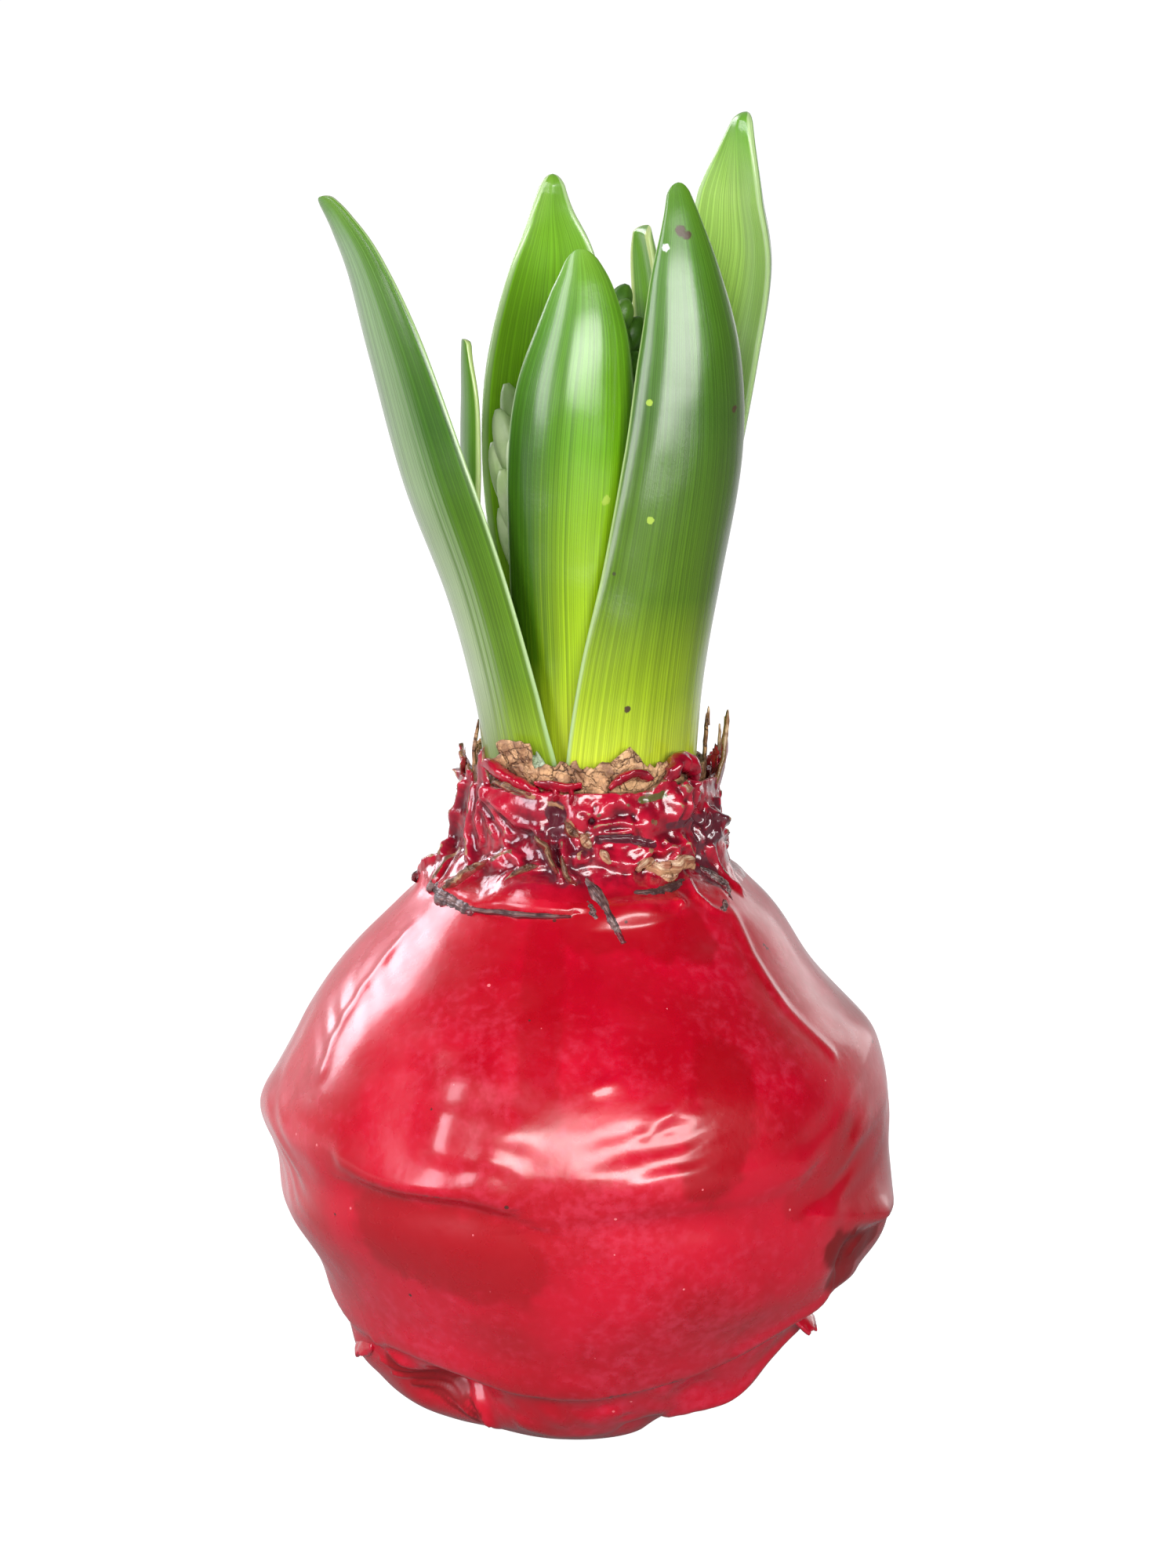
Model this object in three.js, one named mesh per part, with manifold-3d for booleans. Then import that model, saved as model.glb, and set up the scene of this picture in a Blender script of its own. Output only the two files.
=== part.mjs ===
// Waxed hyacinth bulb: a forced hyacinth in leaf and bud, its bulb dipped in red wax.
// Millimetres, +Z up, the front towards -Y and the right towards +X.
// The origin is the middle of the flat spot under the wax that the bulb rests on.
// A bearing is an angle in degrees seen from above: 0 is the front, 90 the right, 180 the back.
import * as THREE from 'three';
import { mergeVertices } from 'three/addons/utils/BufferGeometryUtils.js';
import Module from 'manifold-3d';

const wasm = await Module();
wasm.setup();

// Clearances and the neck
const GAP = 0.3;
const NECK_X = 1.4;
const NECK_TOP = 76;
const WELL_FLOOR = 62;
const WELL_RADIUS_FLOOR = 11.2;
const WELL_RADIUS_TOP = 12.35;
const LEAF_LAYER_STEP = 1.8;
const LEAF_CLEARANCE = 0.4;

// Outline of the wax: radius and height at the front, right, back and left, from the foot up
const WAX_OUTLINE = [
  { name: 'rest edge', front: [8, 0], right: [8, 0], back: [8, 0], left: [8, 0] },
  { name: 'foot', front: [13.4, 1.7], right: [11.8, 3.2], back: [13.6, 2.0], left: [14.0, 2.4] },
  { name: 'foot side', front: [18.2, 4.4], right: [18.8, 5.8], back: [18.8, 4.6], left: [20.4, 4.6] },
  { name: 'under ridge', front: [20.8, 7.4], right: [22.6, 9.0], back: [21.6, 8.0], left: [23.4, 8.0] },
  { name: 'lower ridge', front: [24.0, 10.0], right: [27.2, 14.2], back: [25.0, 11.4], left: [25.2, 12.4] },
  { name: 'lower belly', front: [30.4, 18.6], right: [33.4, 20.0], back: [29.9, 18.6], left: [29.2, 20.0] },
  { name: 'under crease', front: [33.4, 26.8], right: [35.2, 25.6], back: [32.7, 26.4], left: [33.0, 25.8] },
  { name: 'crease', front: [34.1, 32.0], right: [34.9, 32.2], back: [33.9, 32.0], left: [34.0, 31.2] },
  { name: 'belly', front: [34.9, 36.8], right: [34.7, 37.4], back: [34.5, 36.8], left: [35.1, 37.7] },
  { name: 'shoulder', front: [32.7, 44.4], right: [32.9, 45.0], back: [32.4, 44.6], left: [31.6, 45.2] },
  { name: 'high shoulder', front: [27.3, 52.6], right: [26.4, 52.9], back: [26.9, 52.8], left: [26.5, 52.9] },
  { name: 'neck root', front: [20.8, 59.4], right: [21.6, 59.5], back: [20.7, 59.5], left: [20.2, 59.4] },
  { name: 'collar foot', front: [16.0, 65.2], right: [16.4, 65.5], back: [16.0, 65.4], left: [14.2, 65.5] },
  { name: 'collar', front: [14.8, 70.0], right: [15.5, 70.2], back: [14.8, 70.0], left: [12.9, 70.0] },
  { name: 'rim', front: [14.4, 74.6], right: [15.5, 74.6], back: [14.2, 74.2], left: [12.7, 74.4] },
];
const WAX_SIDES = 56;
const WAX_ROWS = 36;
const RIM_SHELF_RADIUS = 9;

// Lumps and dents of the wax: bearing and height of the middle, spread round and up, and rise
const WAX_LUMPS = [
  { name: 'bulge over the crease', bearing: 17, height: 35.6, round: 8.5, up: 3.6, rise: 1.0 },
  { name: 'left ripple', bearing: -25, height: 40.5, round: 2.2, up: 5.0, rise: 0.8 },
  { name: 'middle ripple', bearing: -16, height: 37.5, round: 2.0, up: 5.5, rise: 0.7 },
  { name: 'crease lip', bearing: -27, height: 34.4, round: 8.0, up: 1.6, rise: 0.7 },
  { name: 'right hollow', bearing: 66, height: 21.5, round: 4.6, up: 4.2, rise: -2.6 },
  { name: 'brow of the hollow', bearing: 74, height: 26.4, round: 6.0, up: 2.0, rise: 0.9 },
  { name: 'left corner', bearing: -86, height: 37.8, round: 14.0, up: 2.4, rise: 0.5 },
  { name: 'left facet', bearing: -78, height: 31.0, round: 8.0, up: 3.6, rise: -0.8 },
  { name: 'right corner', bearing: 84, height: 45.8, round: 8.0, up: 2.0, rise: 0.4 },
  { name: 'pocket', bearing: -38, height: 6.4, round: 5.2, up: 3.0, rise: -3.0 },
  { name: 'pocket lip', bearing: -46, height: 3.2, round: 7.0, up: 1.5, rise: 0.9 },
  { name: 'left foot flap', bearing: -74, height: 10.6, round: 4.0, up: 2.6, rise: 1.0 },
  { name: 'right foot lobe', bearing: 54, height: 7.4, round: 5.5, up: 2.4, rise: 1.3 },
  { name: 'foot notch', bearing: 30, height: 2.2, round: 3.2, up: 1.8, rise: -1.3 },
  { name: 'foot dimple', bearing: 38, height: 8.2, round: 2.6, up: 1.8, rise: -1.1 },
  { name: 'back lobe', bearing: 165, height: 6.0, round: 8.0, up: 3.0, rise: 1.3 },
  { name: 'back fold', bearing: 205, height: 33.0, round: 13.0, up: 2.2, rise: -0.9 },
  { name: 'back bulge', bearing: 150, height: 40.0, round: 10.0, up: 5.0, rise: 0.9 },
  { name: 'neck bump left', bearing: -82, height: 63.4, round: 3.0, up: 1.7, rise: 1.2 },
  { name: 'neck bump right', bearing: 72, height: 67.4, round: 3.2, up: 2.6, rise: 0.9 },
  { name: 'neck bump back', bearing: 190, height: 66.0, round: 5.0, up: 2.0, rise: 1.2 },
];
// Slow waves of the wax: how many go round the bulb, and the height in which each turns by a radian
const UNEVEN_RISE = 0.32;
const WAVES_ROUND = 3;
const WAVE_HEIGHT = 7;
const CROSS_WAVES_ROUND = 2;
const CROSS_WAVE_HEIGHT = 5;
const EVEN_NECK_FROM = 62;
const EVEN_NECK_TO = 70;
// The rest spot stays flat up to the first height, and the lumps stand out fully from the second
const FLAT_FOOT_TO = 0.2;
const LUMPY_FROM = 2.4;
const HEIGHT_SEARCH_STEPS = 24;

// Natural bulb inside the wax: radius and height from the basal plate to the neck
const BULB_OUTLINE = [
  [8.0, 6.4],
  [13.6, 7.8],
  [18.4, 12.2],
  [25.4, 19.4],
  [30.0, 27.0],
  [31.6, 34.4],
  [30.2, 42.5],
  [25.2, 50.6],
  [18.8, 57.4],
  [14.5, 62.8],
  [13.05, 67.6],
  [12.9, NECK_TOP],
];
const BULB_SIDES = 32;
const BULB_ROWS = 13;
const NECK_SHIFT_FROM = 48;
const NECK_SHIFT_TO = 68;

// Room kept for the leaves above the neck
const LEAF_ROOM_TOP = 90;
const LEAF_ROOM_RADIUS_TOP = 14.2;

// Red collar flakes in rows: height, how many, size, lean from upright and how far it varies
const COLLAR_ROWS = [
  { name: 'rim', height: 73.6, count: 12, width: 5.4, length: 3.2, lean: 0, spread: 10, thick: 0.8 },
  { name: 'upper', height: 70.6, count: 9, width: 6.6, length: 3.4, lean: 4, spread: 14, thick: 1.0 },
  { name: 'middle', height: 67.0, count: 9, width: 7.0, length: 3.4, lean: -1, spread: 16, thick: 1.1 },
  { name: 'lower', height: 63.6, count: 8, width: 8.0, length: 3.4, lean: -18, spread: 18, thick: 1.2 },
];
const COLLAR_SEED = 7;
const COLLAR_CURL = 26;
const FLAKE_STEPS = 3;
const FLAKE_SINK = 0.3;
// How the flakes of a row vary: shares of the spacing, millimetres of height, shares of size and length
const SPACING_VARIES = 0.7;
const HEIGHT_VARIES = 1.6;
const LEAST_SIZE = 0.75;
const SIZE_VARIES = 0.5;
const LEAST_LENGTH = 0.7;
const LENGTH_VARIES = 0.6;
const CURLED_INWARD = 0.25;
// A flake loses these shares of its width and its thickness towards the tip
const RED_FLAKE_TAPER = 0.6;
const SCRAP_TAPER = 0.25;
const FLAKE_THINNING = 0.45;

// Flakes that the photo singles out: place, size, lean at the root and at the tip
const COLLAR_FLAKES = [
  { name: 'right curl', bearing: 86, height: 71.4, width: 3.6, length: 9.8, lean: 17, curl: -12, thick: 1 },
  { name: 'right sliver', bearing: 98, height: 73.6, width: 2.4, length: 5.2, lean: 12, curl: 4, thick: 0.8 },
  { name: 'left tip', bearing: -60, height: 72.8, width: 3, length: 5, lean: 6, curl: 4, thick: 1 },
  { name: 'pale edge', bearing: 33, height: 67, width: 9.4, length: 5, lean: 84, curl: 44, thick: 1.3 },
  { name: 'crumpled lump', bearing: 50, height: 72.2, width: 5.4, length: 4.6, lean: 20, curl: 30, thick: 2 },
  { name: 'under flap', bearing: 66, height: 15.4, width: 5, length: 2.4, lean: 140, curl: 16, thick: 1.1 },
  { name: 'foot flap', bearing: -70, height: 12.6, width: 5.6, length: 2.6, lean: 158, curl: 14, thick: 1.2 },
];

// Tunic strips that the wax sealed down on the shoulder: bearing and height of their ends
const SEALED_STRIPS = [
  { name: 'left strip', from: [-68.6, 62.3], to: [-39.7, 62.0], width: 2.6, rise: 0.9 },
  { name: 'left strip tail', from: [-42, 62.0], to: [-1.8, 61.9], width: 0.9, rise: 0.7 },
  { name: 'splinter', from: [3, 65.7], to: [14.1, 59.2], width: 1.8, rise: 1.1 },
  { name: 'front rim strip', from: [17.1, 64.2], to: [45.6, 63.9], width: 1.4, rise: 0.8 },
  { name: 'right strip', from: [49.6, 65.3], to: [55.6, 60.6], width: 2.2, rise: 0.8 },
];
const STRIP_STEPS = 6;
const STRIP_SINK = 0.8;
const STRIP_STEP_AHEAD = 0.01;
// A strip's crown as shares of its half width and its rise, its narrowest end, and how its taper runs
const STRIP_CROWN = [[-0.5, 0.9], [0.4, 1]];
const STRIP_END_WIDTH = 0.35;
const STRIP_TAPER_FROM = 0.15;
const STRIP_TAPER_TO = 0.85;

// Brown papery tunic scraps that stand out of the neck
const TUNIC_SCRAPS = [
  { name: 'left spike', bearing: -90, height: 75, width: 1.5, length: 4.6, lean: -1, curl: -4, thick: 0.8 },
  { name: 'left scrap', bearing: -29, height: 75.2, width: 4.8, length: 4.6, lean: 8, curl: 14, thick: 0.9 },
  { name: 'front band', bearing: -6, height: 74.6, width: 6.6, length: 2.8, lean: 10, curl: 10, thick: 0.9 },
  { name: 'raised edge', bearing: 19, height: 74.8, width: 4.6, length: 4.8, lean: 14, curl: 6, thick: 0.8 },
  { name: 'right scrap', bearing: 41, height: 75, width: 3.4, length: 2.6, lean: 12, curl: 0, thick: 0.8 },
  { name: 'right sliver', bearing: 99, height: 75.4, width: 1.6, length: 5, lean: 2, curl: 4, thick: 0.7 },
  { name: 'back scrap', bearing: 160, height: 75, width: 6, length: 3.4, lean: 8, curl: 8, thick: 0.9 },
  { name: 'rear scrap', bearing: 222, height: 75, width: 5, length: 2.8, lean: 10, curl: 12, thick: 0.9 },
];

// Leaves. In the neck a leaf lies in a layer, 0 the outermost, at a bearing, with half its width there.
// Above it each station gives the keel's x, y and z, the radius the blade is rolled to and half its width.
const LEAVES = {
  leaf_left: {
    layer: 0, bearing: -72, half: 11.6, tipBearing: -58, thick: 1.7,
    stations: [
      [-11.0, -4.6, 84, 11.2, 10.0],
      [-13.7, -5.6, 95, 10.2, 8.8],
      [-18.1, -6.2, 107.6, 9.4, 8.4],
      [-21.7, -6.2, 121.6, 8.0, 6.5],
      [-24.1, -5.6, 130.6, 6.2, 4.3],
      [-26.3, -5.1, 135.8, 4.0, 2.6],
      [-28.1, -4.8, 138.9, 2.0, 1.2],
    ],
  },
  leaf_right: {
    layer: 0, bearing: 42, half: 11.8, tipBearing: 20, thick: 1.8,
    stations: [
      [10.3, -10.2, 87, 11.0, 10.7],
      [11.7, -11.4, 98, 10.0, 9.4],
      [13.4, -11.6, 111, 9.2, 8.7],
      [13.4, -11.0, 121.6, 8.0, 7.3],
      [12.5, -10.0, 130.6, 6.0, 4.9],
      [11.7, -8.9, 136.8, 3.9, 2.6],
      [11.0, -7.9, 140.8, 2.0, 1.2],
    ],
  },
  leaf_front: {
    layer: 1, bearing: -12, half: 7.4, tipBearing: 2, thick: 1.7,
    stations: [
      [-0.9, -10.5, 88, 9.8, 7.4],
      [-1.1, -11.2, 99, 9.2, 7.9],
      [-0.7, -11.5, 109, 9.0, 8.5],
      [-0.1, -11.3, 117, 8.2, 8.2],
      [0.6, -10.5, 124, 6.6, 6.5],
      [0.7, -9.3, 129.6, 4.6, 4.1],
      [0.4, -8.0, 133.6, 2.2, 1.4],
    ],
  },
  leaf_back_left: {
    layer: 1, bearing: 190, half: 7.8, tipBearing: 182, thick: 1.6,
    stations: [
      [-2.0, 10.8, 92, 10.0, 8.3],
      [-3.3, 11.6, 105, 9.8, 9.1],
      [-3.3, 11.8, 114, 9.6, 9.2],
      [-3.0, 11.7, 122, 8.8, 8.0],
      [-2.6, 10.9, 130.6, 6.4, 5.7],
      [-2.8, 10.0, 136.2, 4.0, 2.8],
      [-2.7, 9.1, 140.2, 2.0, 1.2],
    ],
  },
  leaf_back_right: {
    layer: 0, bearing: 147, half: 8.6, tipBearing: 134, thick: 1.6,
    stations: [
      [10.4, 10.8, 94, 10.6, 8.6],
      [14.4, 10.8, 109, 9.4, 8.4],
      [17.2, 10.3, 121, 9.0, 8.1],
      [19.1, 9.6, 131, 8.4, 7.9],
      [18.8, 8.8, 138, 6.4, 6.0],
      [18.7, 8.2, 143.4, 4.0, 3.2],
      [18.8, 7.8, 147.2, 2.1, 1.3],
    ],
  },
  leaf_inner_right: {
    layer: 2, bearing: 100, half: 4.0, tipBearing: 116, thick: 1.2,
    stations: [
      [10.2, 2.8, 90, 7.0, 4.2],
      [10.4, 4.6, 106, 6.0, 4.3],
      [10.0, 5.6, 119, 5.0, 4.3],
      [9.2, 5.9, 127.0, 4.4, 4.0],
      [8.5, 5.7, 131.8, 3.6, 3.3],
      [7.9, 5.2, 134.9, 2.6, 2.1],
    ],
  },
  leaf_inner_left: {
    layer: 2, bearing: -95, half: 3.8, tipBearing: -66, thick: 1.1,
    stations: [
      [-9.6, 1.4, 89, 6.6, 3.3],
      [-12.2, 1.4, 100, 5.6, 3.1],
      [-12.6, 0.9, 109, 5.0, 3.0],
      [-12.5, 0.6, 116, 4.0, 2.3],
      [-12.6, 0.5, 120.4, 2.6, 1.3],
      [-12.6, 0.4, 122.8, 1.6, 0.7],
    ],
  },
};
const LEAF_SECTIONS = 17;
const LEAF_SECTION_POINTS = 7;
const NECK_LEAF_THICKNESS = 1.35;
const NECK_LEAF_RISE = 1;
// A margin is as thick as the first value, but no more than this share of the blade
const LEAF_EDGE_THICKNESS = 0.7;
const LEAF_EDGE_SHARE = 0.6;
// A blade is no thicker than this share of the radius that it is rolled to
const LEAF_ROLL_SHARE = 0.55;
// The sections stand closer towards the tip, and a blade has turned to its tip bearing by this share
const LEAF_CROWDING = 1.25;
const LEAF_TURNED_BY = 0.75;
// The tip is rounded off from this share on, and stays a little blunt
const LEAF_TIP_ROUND_FROM = 0.965;
const LEAF_TIP_BLUNT = 0.004;
const LEAF_TIP_THICKER = 0.05;

// Flower spike: stalk and core as centre x, height and radius, then the buds round the core
const SPIKE_Y = -0.2;
const SPIKE_STATIONS = [
  [1.4, WELL_FLOOR + GAP, 4.4],
  [1.2, 76, 4.4],
  [0.3, 90, 4.1],
  [-1.1, 98, 4.9],
  [-1.5, 106, 5.9],
  [-0.5, 114, 5.6],
  [1.5, 121.5, 4.9],
  [2.4, 127.2, 2.7],
];
const SPIKE_SIDES = 12;
const SPIKE_ROWS = 14;
const BUD_COUNT = 40;
const BUD_SIDES = 5;
const BUD_FROM = 96.5;
const BUD_TO = 126.0;
const BUD_CROWDING = 0.85;
const BUD_LENGTH_LOW = 6.6;
const BUD_LENGTH_HIGH = 3.6;
const BUD_RADIUS_LOW = 1.95;
const BUD_RADIUS_HIGH = 1.3;
const BUD_SINK = 0.9;
const BUD_LEAN_LOW = 38;
const BUD_LEAN_HIGH = 22;
const BUD_PROFILE = [[0.55, 0], [1.0, 0.38], [0.84, 0.76], [0.3, 1.0]];
const GOLDEN_TURN = 137.508;

const RED_WAX = 0xc4102c;
const TUNIC_BROWN = 0x9a6b45;
const LEAF_GREEN = 0x5b9a32;
const INNER_LEAF_GREEN = 0x6d9f6a;
const BUD_GREEN = 0x5d8a4a;
const WAX_ROUGHNESS = 0.3;
const TUNIC_ROUGHNESS = 0.8;
const LEAF_ROUGHNESS = 0.45;
const BUD_ROUGHNESS = 0.5;

const CURVE_TENSION = 0.5;
const WELD_DISTANCE = 1e-4;

// Small mathematics

const radians = THREE.MathUtils.degToRad;
const up = new THREE.Vector3(0, 0, 1);

// Level direction that a bearing points in
function bearingDirection(bearing) {
  const angle = radians(bearing);
  return new THREE.Vector3(Math.sin(angle), -Math.cos(angle), 0);
}

// Shortest signed turn between two bearings, in degrees
function turnBetween(bearing, other) {
  return THREE.MathUtils.euclideanModulo(bearing - other + 180, 360) - 180;
}

// Repeatable random numbers between 0 and 1
function seededRandom(seed) {
  let state = seed;
  return () => {
    state = (state + 0x6d2b79f5) | 0;
    let mixed = Math.imul(state ^ (state >>> 15), 1 | state);
    mixed = (mixed + Math.imul(mixed ^ (mixed >>> 7), 61 | mixed)) ^ mixed;
    return ((mixed ^ (mixed >>> 14)) >>> 0) / 2 ** 32;
  };
}

// Smooth curve through rows of up to three values, read from 0 to 1
function smoothRow(rows) {
  const points = rows.map((row) => new THREE.Vector3(row[0], row[1] ?? 0, row[2] ?? 0));
  return new THREE.CatmullRomCurve3(points, false, 'catmullrom', CURVE_TENSION);
}

// Solids

// Closed body through rings of points. Each ring turns anticlockwise about the way from first to last.
// Its ends are closed by strips, so a ring may be a thin crescent as well as round.
function loft(rings) {
  const count = rings[0].length;
  const faces = [];
  for (let row = 0; row + 1 < rings.length; row += 1) {
    for (let side = 0; side < count; side += 1) {
      const here = row * count + side;
      const next = row * count + (side + 1) % count;
      faces.push(here, next, next + count, here, next + count, here + count);
    }
  }
  const last = (rings.length - 1) * count;
  for (let step = 0; step < count / 2 - 1; step += 1) {
    const far = count - 1 - step;
    faces.push(step, far, step + 1, step + 1, far, far - 1);
    faces.push(last + step, last + step + 1, last + far, last + step + 1, last + far - 1, last + far);
  }
  const geometry = new THREE.BufferGeometry();
  const positions = rings.flat().flatMap((point) => [point.x, point.y, point.z]);
  geometry.setAttribute('position', new THREE.Float32BufferAttribute(positions, 3));
  geometry.setIndex(faces);
  return geometry;
}

function toSolid(geometry) {
  const plain = geometry.clone();
  plain.deleteAttribute('normal');
  plain.deleteAttribute('uv');
  const merged = mergeVertices(plain, WELD_DISTANCE);
  return new wasm.Manifold(new wasm.Mesh({
    numProp: 3,
    vertProperties: new Float32Array(merged.attributes.position.array),
    triVerts: new Uint32Array(merged.index.array),
  }));
}

function fromSolid(solid) {
  const mesh = solid.getMesh();
  const geometry = new THREE.BufferGeometry();
  geometry.setAttribute('position', new THREE.Float32BufferAttribute(mesh.vertProperties, 3));
  geometry.setIndex(Array.from(mesh.triVerts));
  return geometry;
}

// Union of many bodies that overlap
function fuse(solids) {
  return solids.reduce((whole, solid) => whole.add(solid));
}

// The main body alone: a loose scrap is dropped, and a hollow sealed between flakes is filled
function mainBody(solid) {
  return solid.decompose().reduce((main, other) => (other.volume() > main.volume() ? other : main));
}

// Level ring of points about a centre, with a radius for each bearing
function levelRing(sides, centreX, height, radiusAt) {
  return Array.from({ length: sides }, (unused, side) => {
    const bearing = side * 360 / sides;
    const point = bearingDirection(bearing).multiplyScalar(radiusAt(bearing));
    return point.add(new THREE.Vector3(centreX, 0, height));
  });
}

// Wax coat

// Radius and height at any bearing, blended round from the values at the four sides
function blendRound(station, bearing) {
  const angle = radians(bearing);
  return [0, 1].map((axis) => {
    const [front, right] = [station.front[axis], station.right[axis]];
    const [back, left] = [station.back[axis], station.left[axis]];
    return (front + right + back + left) / 4
      + (front - back) / 2 * Math.cos(angle)
      + (right - left) / 2 * Math.sin(angle)
      + (front + back - right - left) / 4 * Math.cos(2 * angle);
  });
}

// How far the wax stands out from its smooth outline
function waxRise(bearing, radius, height) {
  let rise = 0;
  for (const lump of WAX_LUMPS) {
    const round = radians(turnBetween(bearing, lump.bearing)) * radius / lump.round;
    const upward = (height - lump.height) / lump.up;
    rise += lump.rise * Math.exp(-round * round - upward * upward);
  }
  const angle = radians(bearing);
  const uneven = UNEVEN_RISE * (1 - THREE.MathUtils.smoothstep(height, EVEN_NECK_FROM, EVEN_NECK_TO));
  rise += uneven * Math.sin(WAVES_ROUND * angle + height / WAVE_HEIGHT)
    * Math.sin(height / CROSS_WAVE_HEIGHT - CROSS_WAVES_ROUND * angle);
  const keepFlat = THREE.MathUtils.smoothstep(height, FLAT_FOOT_TO, LUMPY_FROM);
  return rise * keepFlat;
}

// Point of the wax surface at a bearing and at a share of the way from the foot to the rim
function waxPoint(outline, bearing, share) {
  const place = outline.getPoint(share);
  const along = outline.getTangent(share);
  const rise = waxRise(bearing, place.x, place.y);
  const radius = place.x + along.y * rise;
  const height = place.y - along.x * rise;
  return bearingDirection(bearing).multiplyScalar(radius).setZ(height);
}

function waxOutlineAt(bearing) {
  return smoothRow(WAX_OUTLINE.map((station) => blendRound(station, bearing)));
}

function waxBody() {
  const bearings = Array.from({ length: WAX_SIDES }, (unused, side) => side * 360 / WAX_SIDES);
  const outlines = bearings.map(waxOutlineAt);
  const rings = [];
  for (let row = 0; row <= WAX_ROWS; row += 1) {
    rings.push(bearings.map((bearing, side) => waxPoint(outlines[side], bearing, row / WAX_ROWS)));
  }
  const rim = rings[WAX_ROWS];
  rings.push(rim.map((point, side) => bearingDirection(bearings[side])
    .multiplyScalar(RIM_SHELF_RADIUS).setZ(point.z)));
  return toSolid(loft(rings));
}

// Share of the way up the outline where the wax reaches a height
function shareAtHeight(outline, height) {
  let low = 0;
  let high = 1;
  for (let step = 0; step < HEIGHT_SEARCH_STEPS; step += 1) {
    const middle = (low + high) / 2;
    if (outline.getPoint(middle).y < height) {
      low = middle;
    } else {
      high = middle;
    }
  }
  return low;
}

function waxPointAtHeight(bearing, height) {
  const outline = waxOutlineAt(bearing);
  return waxPoint(outline, bearing, shareAtHeight(outline, height));
}

// Thin curved plate that grows from a root point. Lean is its angle from upright at the root,
// and curl is how much further it leans at its tip. Grow makes the room that it needs.
function flake({ root, bearing, width, length, lean, curl, thick, taper }, grow = 0) {
  const steps = FLAKE_STEPS;
  const outward = bearingDirection(bearing);
  const sideways = new THREE.Vector3().crossVectors(outward, up);
  const place = root.clone().addScaledVector(up, -grow);
  const rings = [];
  for (let step = 0; step <= steps; step += 1) {
    const share = step / steps;
    const angle = radians(lean + curl * share);
    const along = up.clone().multiplyScalar(Math.cos(angle)).addScaledVector(outward, Math.sin(angle));
    const face = new THREE.Vector3().crossVectors(along, sideways);
    const half = width / 2 * (1 - taper * share ** 2) + grow;
    const depth = thick / 2 * (1 - FLAKE_THINNING * share) + grow;
    rings.push([[-half, -depth], [half, -depth], [half, depth], [-half, depth]]
      .map(([across, deep]) => place.clone().addScaledVector(sideways, across).addScaledVector(face, deep)));
    place.addScaledVector(along, (length + 2 * grow) / steps);
  }
  return toSolid(loft(rings));
}

function collarFlakes() {
  const random = seededRandom(COLLAR_SEED);
  const plates = [];
  for (const row of COLLAR_ROWS) {
    for (let index = 0; index < row.count; index += 1) {
      const bearing = (index + SPACING_VARIES * random()) * 360 / row.count;
      const height = row.height + HEIGHT_VARIES * (random() - 0.5);
      const size = LEAST_SIZE + SIZE_VARIES * random();
      plates.push({
        bearing,
        height,
        width: row.width * size,
        length: row.length * (LEAST_LENGTH + LENGTH_VARIES * random()),
        lean: row.lean + row.spread * (random() - 0.5),
        curl: COLLAR_CURL * (random() - CURLED_INWARD),
        thick: row.thick,
      });
    }
  }
  return plates.concat(COLLAR_FLAKES).map((plate) => {
    const root = waxPointAtHeight(plate.bearing, plate.height);
    root.addScaledVector(bearingDirection(plate.bearing), -plate.thick / 2 - FLAKE_SINK);
    return flake({ ...plate, root, taper: RED_FLAKE_TAPER });
  });
}

// Low bar along the shoulder, sunk into the wax
function sealedStrip({ from, to, width, rise }) {
  const rings = [];
  for (let step = 0; step <= STRIP_STEPS; step += 1) {
    const share = step / STRIP_STEPS;
    const bearing = THREE.MathUtils.lerp(from[0], to[0], share);
    const height = THREE.MathUtils.lerp(from[1], to[1], share);
    const place = waxPointAtHeight(bearing, height);
    const ahead = waxPointAtHeight(
      bearing + (to[0] - from[0]) * STRIP_STEP_AHEAD,
      height + (to[1] - from[1]) * STRIP_STEP_AHEAD,
    );
    const along = ahead.sub(place).normalize();
    const out = bearingDirection(bearing).add(up).normalize();
    const across = new THREE.Vector3().crossVectors(along, out).normalize();
    const taper = Math.sin(Math.PI * THREE.MathUtils.lerp(STRIP_TAPER_FROM, STRIP_TAPER_TO, share));
    const half = width / 2 * THREE.MathUtils.lerp(STRIP_END_WIDTH, 1, taper);
    const crown = STRIP_CROWN.map(([wide, high]) => [wide * half, high * rise]);
    rings.push([[-half, -STRIP_SINK], ...crown, [half, -STRIP_SINK]]
      .map(([wide, high]) => place.clone().addScaledVector(across, wide).addScaledVector(out, high)));
  }
  return toSolid(loft(rings));
}

// Natural bulb

// The neck stands a little to the right of the bulb's middle
function neckShift(height) {
  return NECK_X * THREE.MathUtils.smoothstep(height, NECK_SHIFT_FROM, NECK_SHIFT_TO);
}

// Rings of the bulb's body, grown by the gap where they make room inside the wax
function bulbRings(grow = 0) {
  const outline = smoothRow(BULB_OUTLINE);
  const rings = [];
  for (let row = 0; row <= BULB_ROWS; row += 1) {
    const place = outline.getPoint(row / BULB_ROWS);
    const along = outline.getTangent(row / BULB_ROWS);
    const radius = place.x + grow * along.y;
    rings.push(levelRing(BULB_SIDES, neckShift(place.y), place.y - grow * along.x, () => radius));
  }
  return rings;
}

// Round room for the leaves: the well in the neck, or the space above it
function leafRoom(floor, floorRadius, top, topRadius) {
  return toSolid(loft([
    levelRing(BULB_SIDES, NECK_X, floor, () => floorRadius),
    levelRing(BULB_SIDES, NECK_X, top, () => topRadius),
  ]));
}

function leafWell() {
  return leafRoom(WELL_FLOOR, WELL_RADIUS_FLOOR, NECK_TOP, WELL_RADIUS_TOP)
    .add(leafRoom(NECK_TOP - GAP, WELL_RADIUS_TOP, LEAF_ROOM_TOP, LEAF_ROOM_RADIUS_TOP));
}

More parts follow.
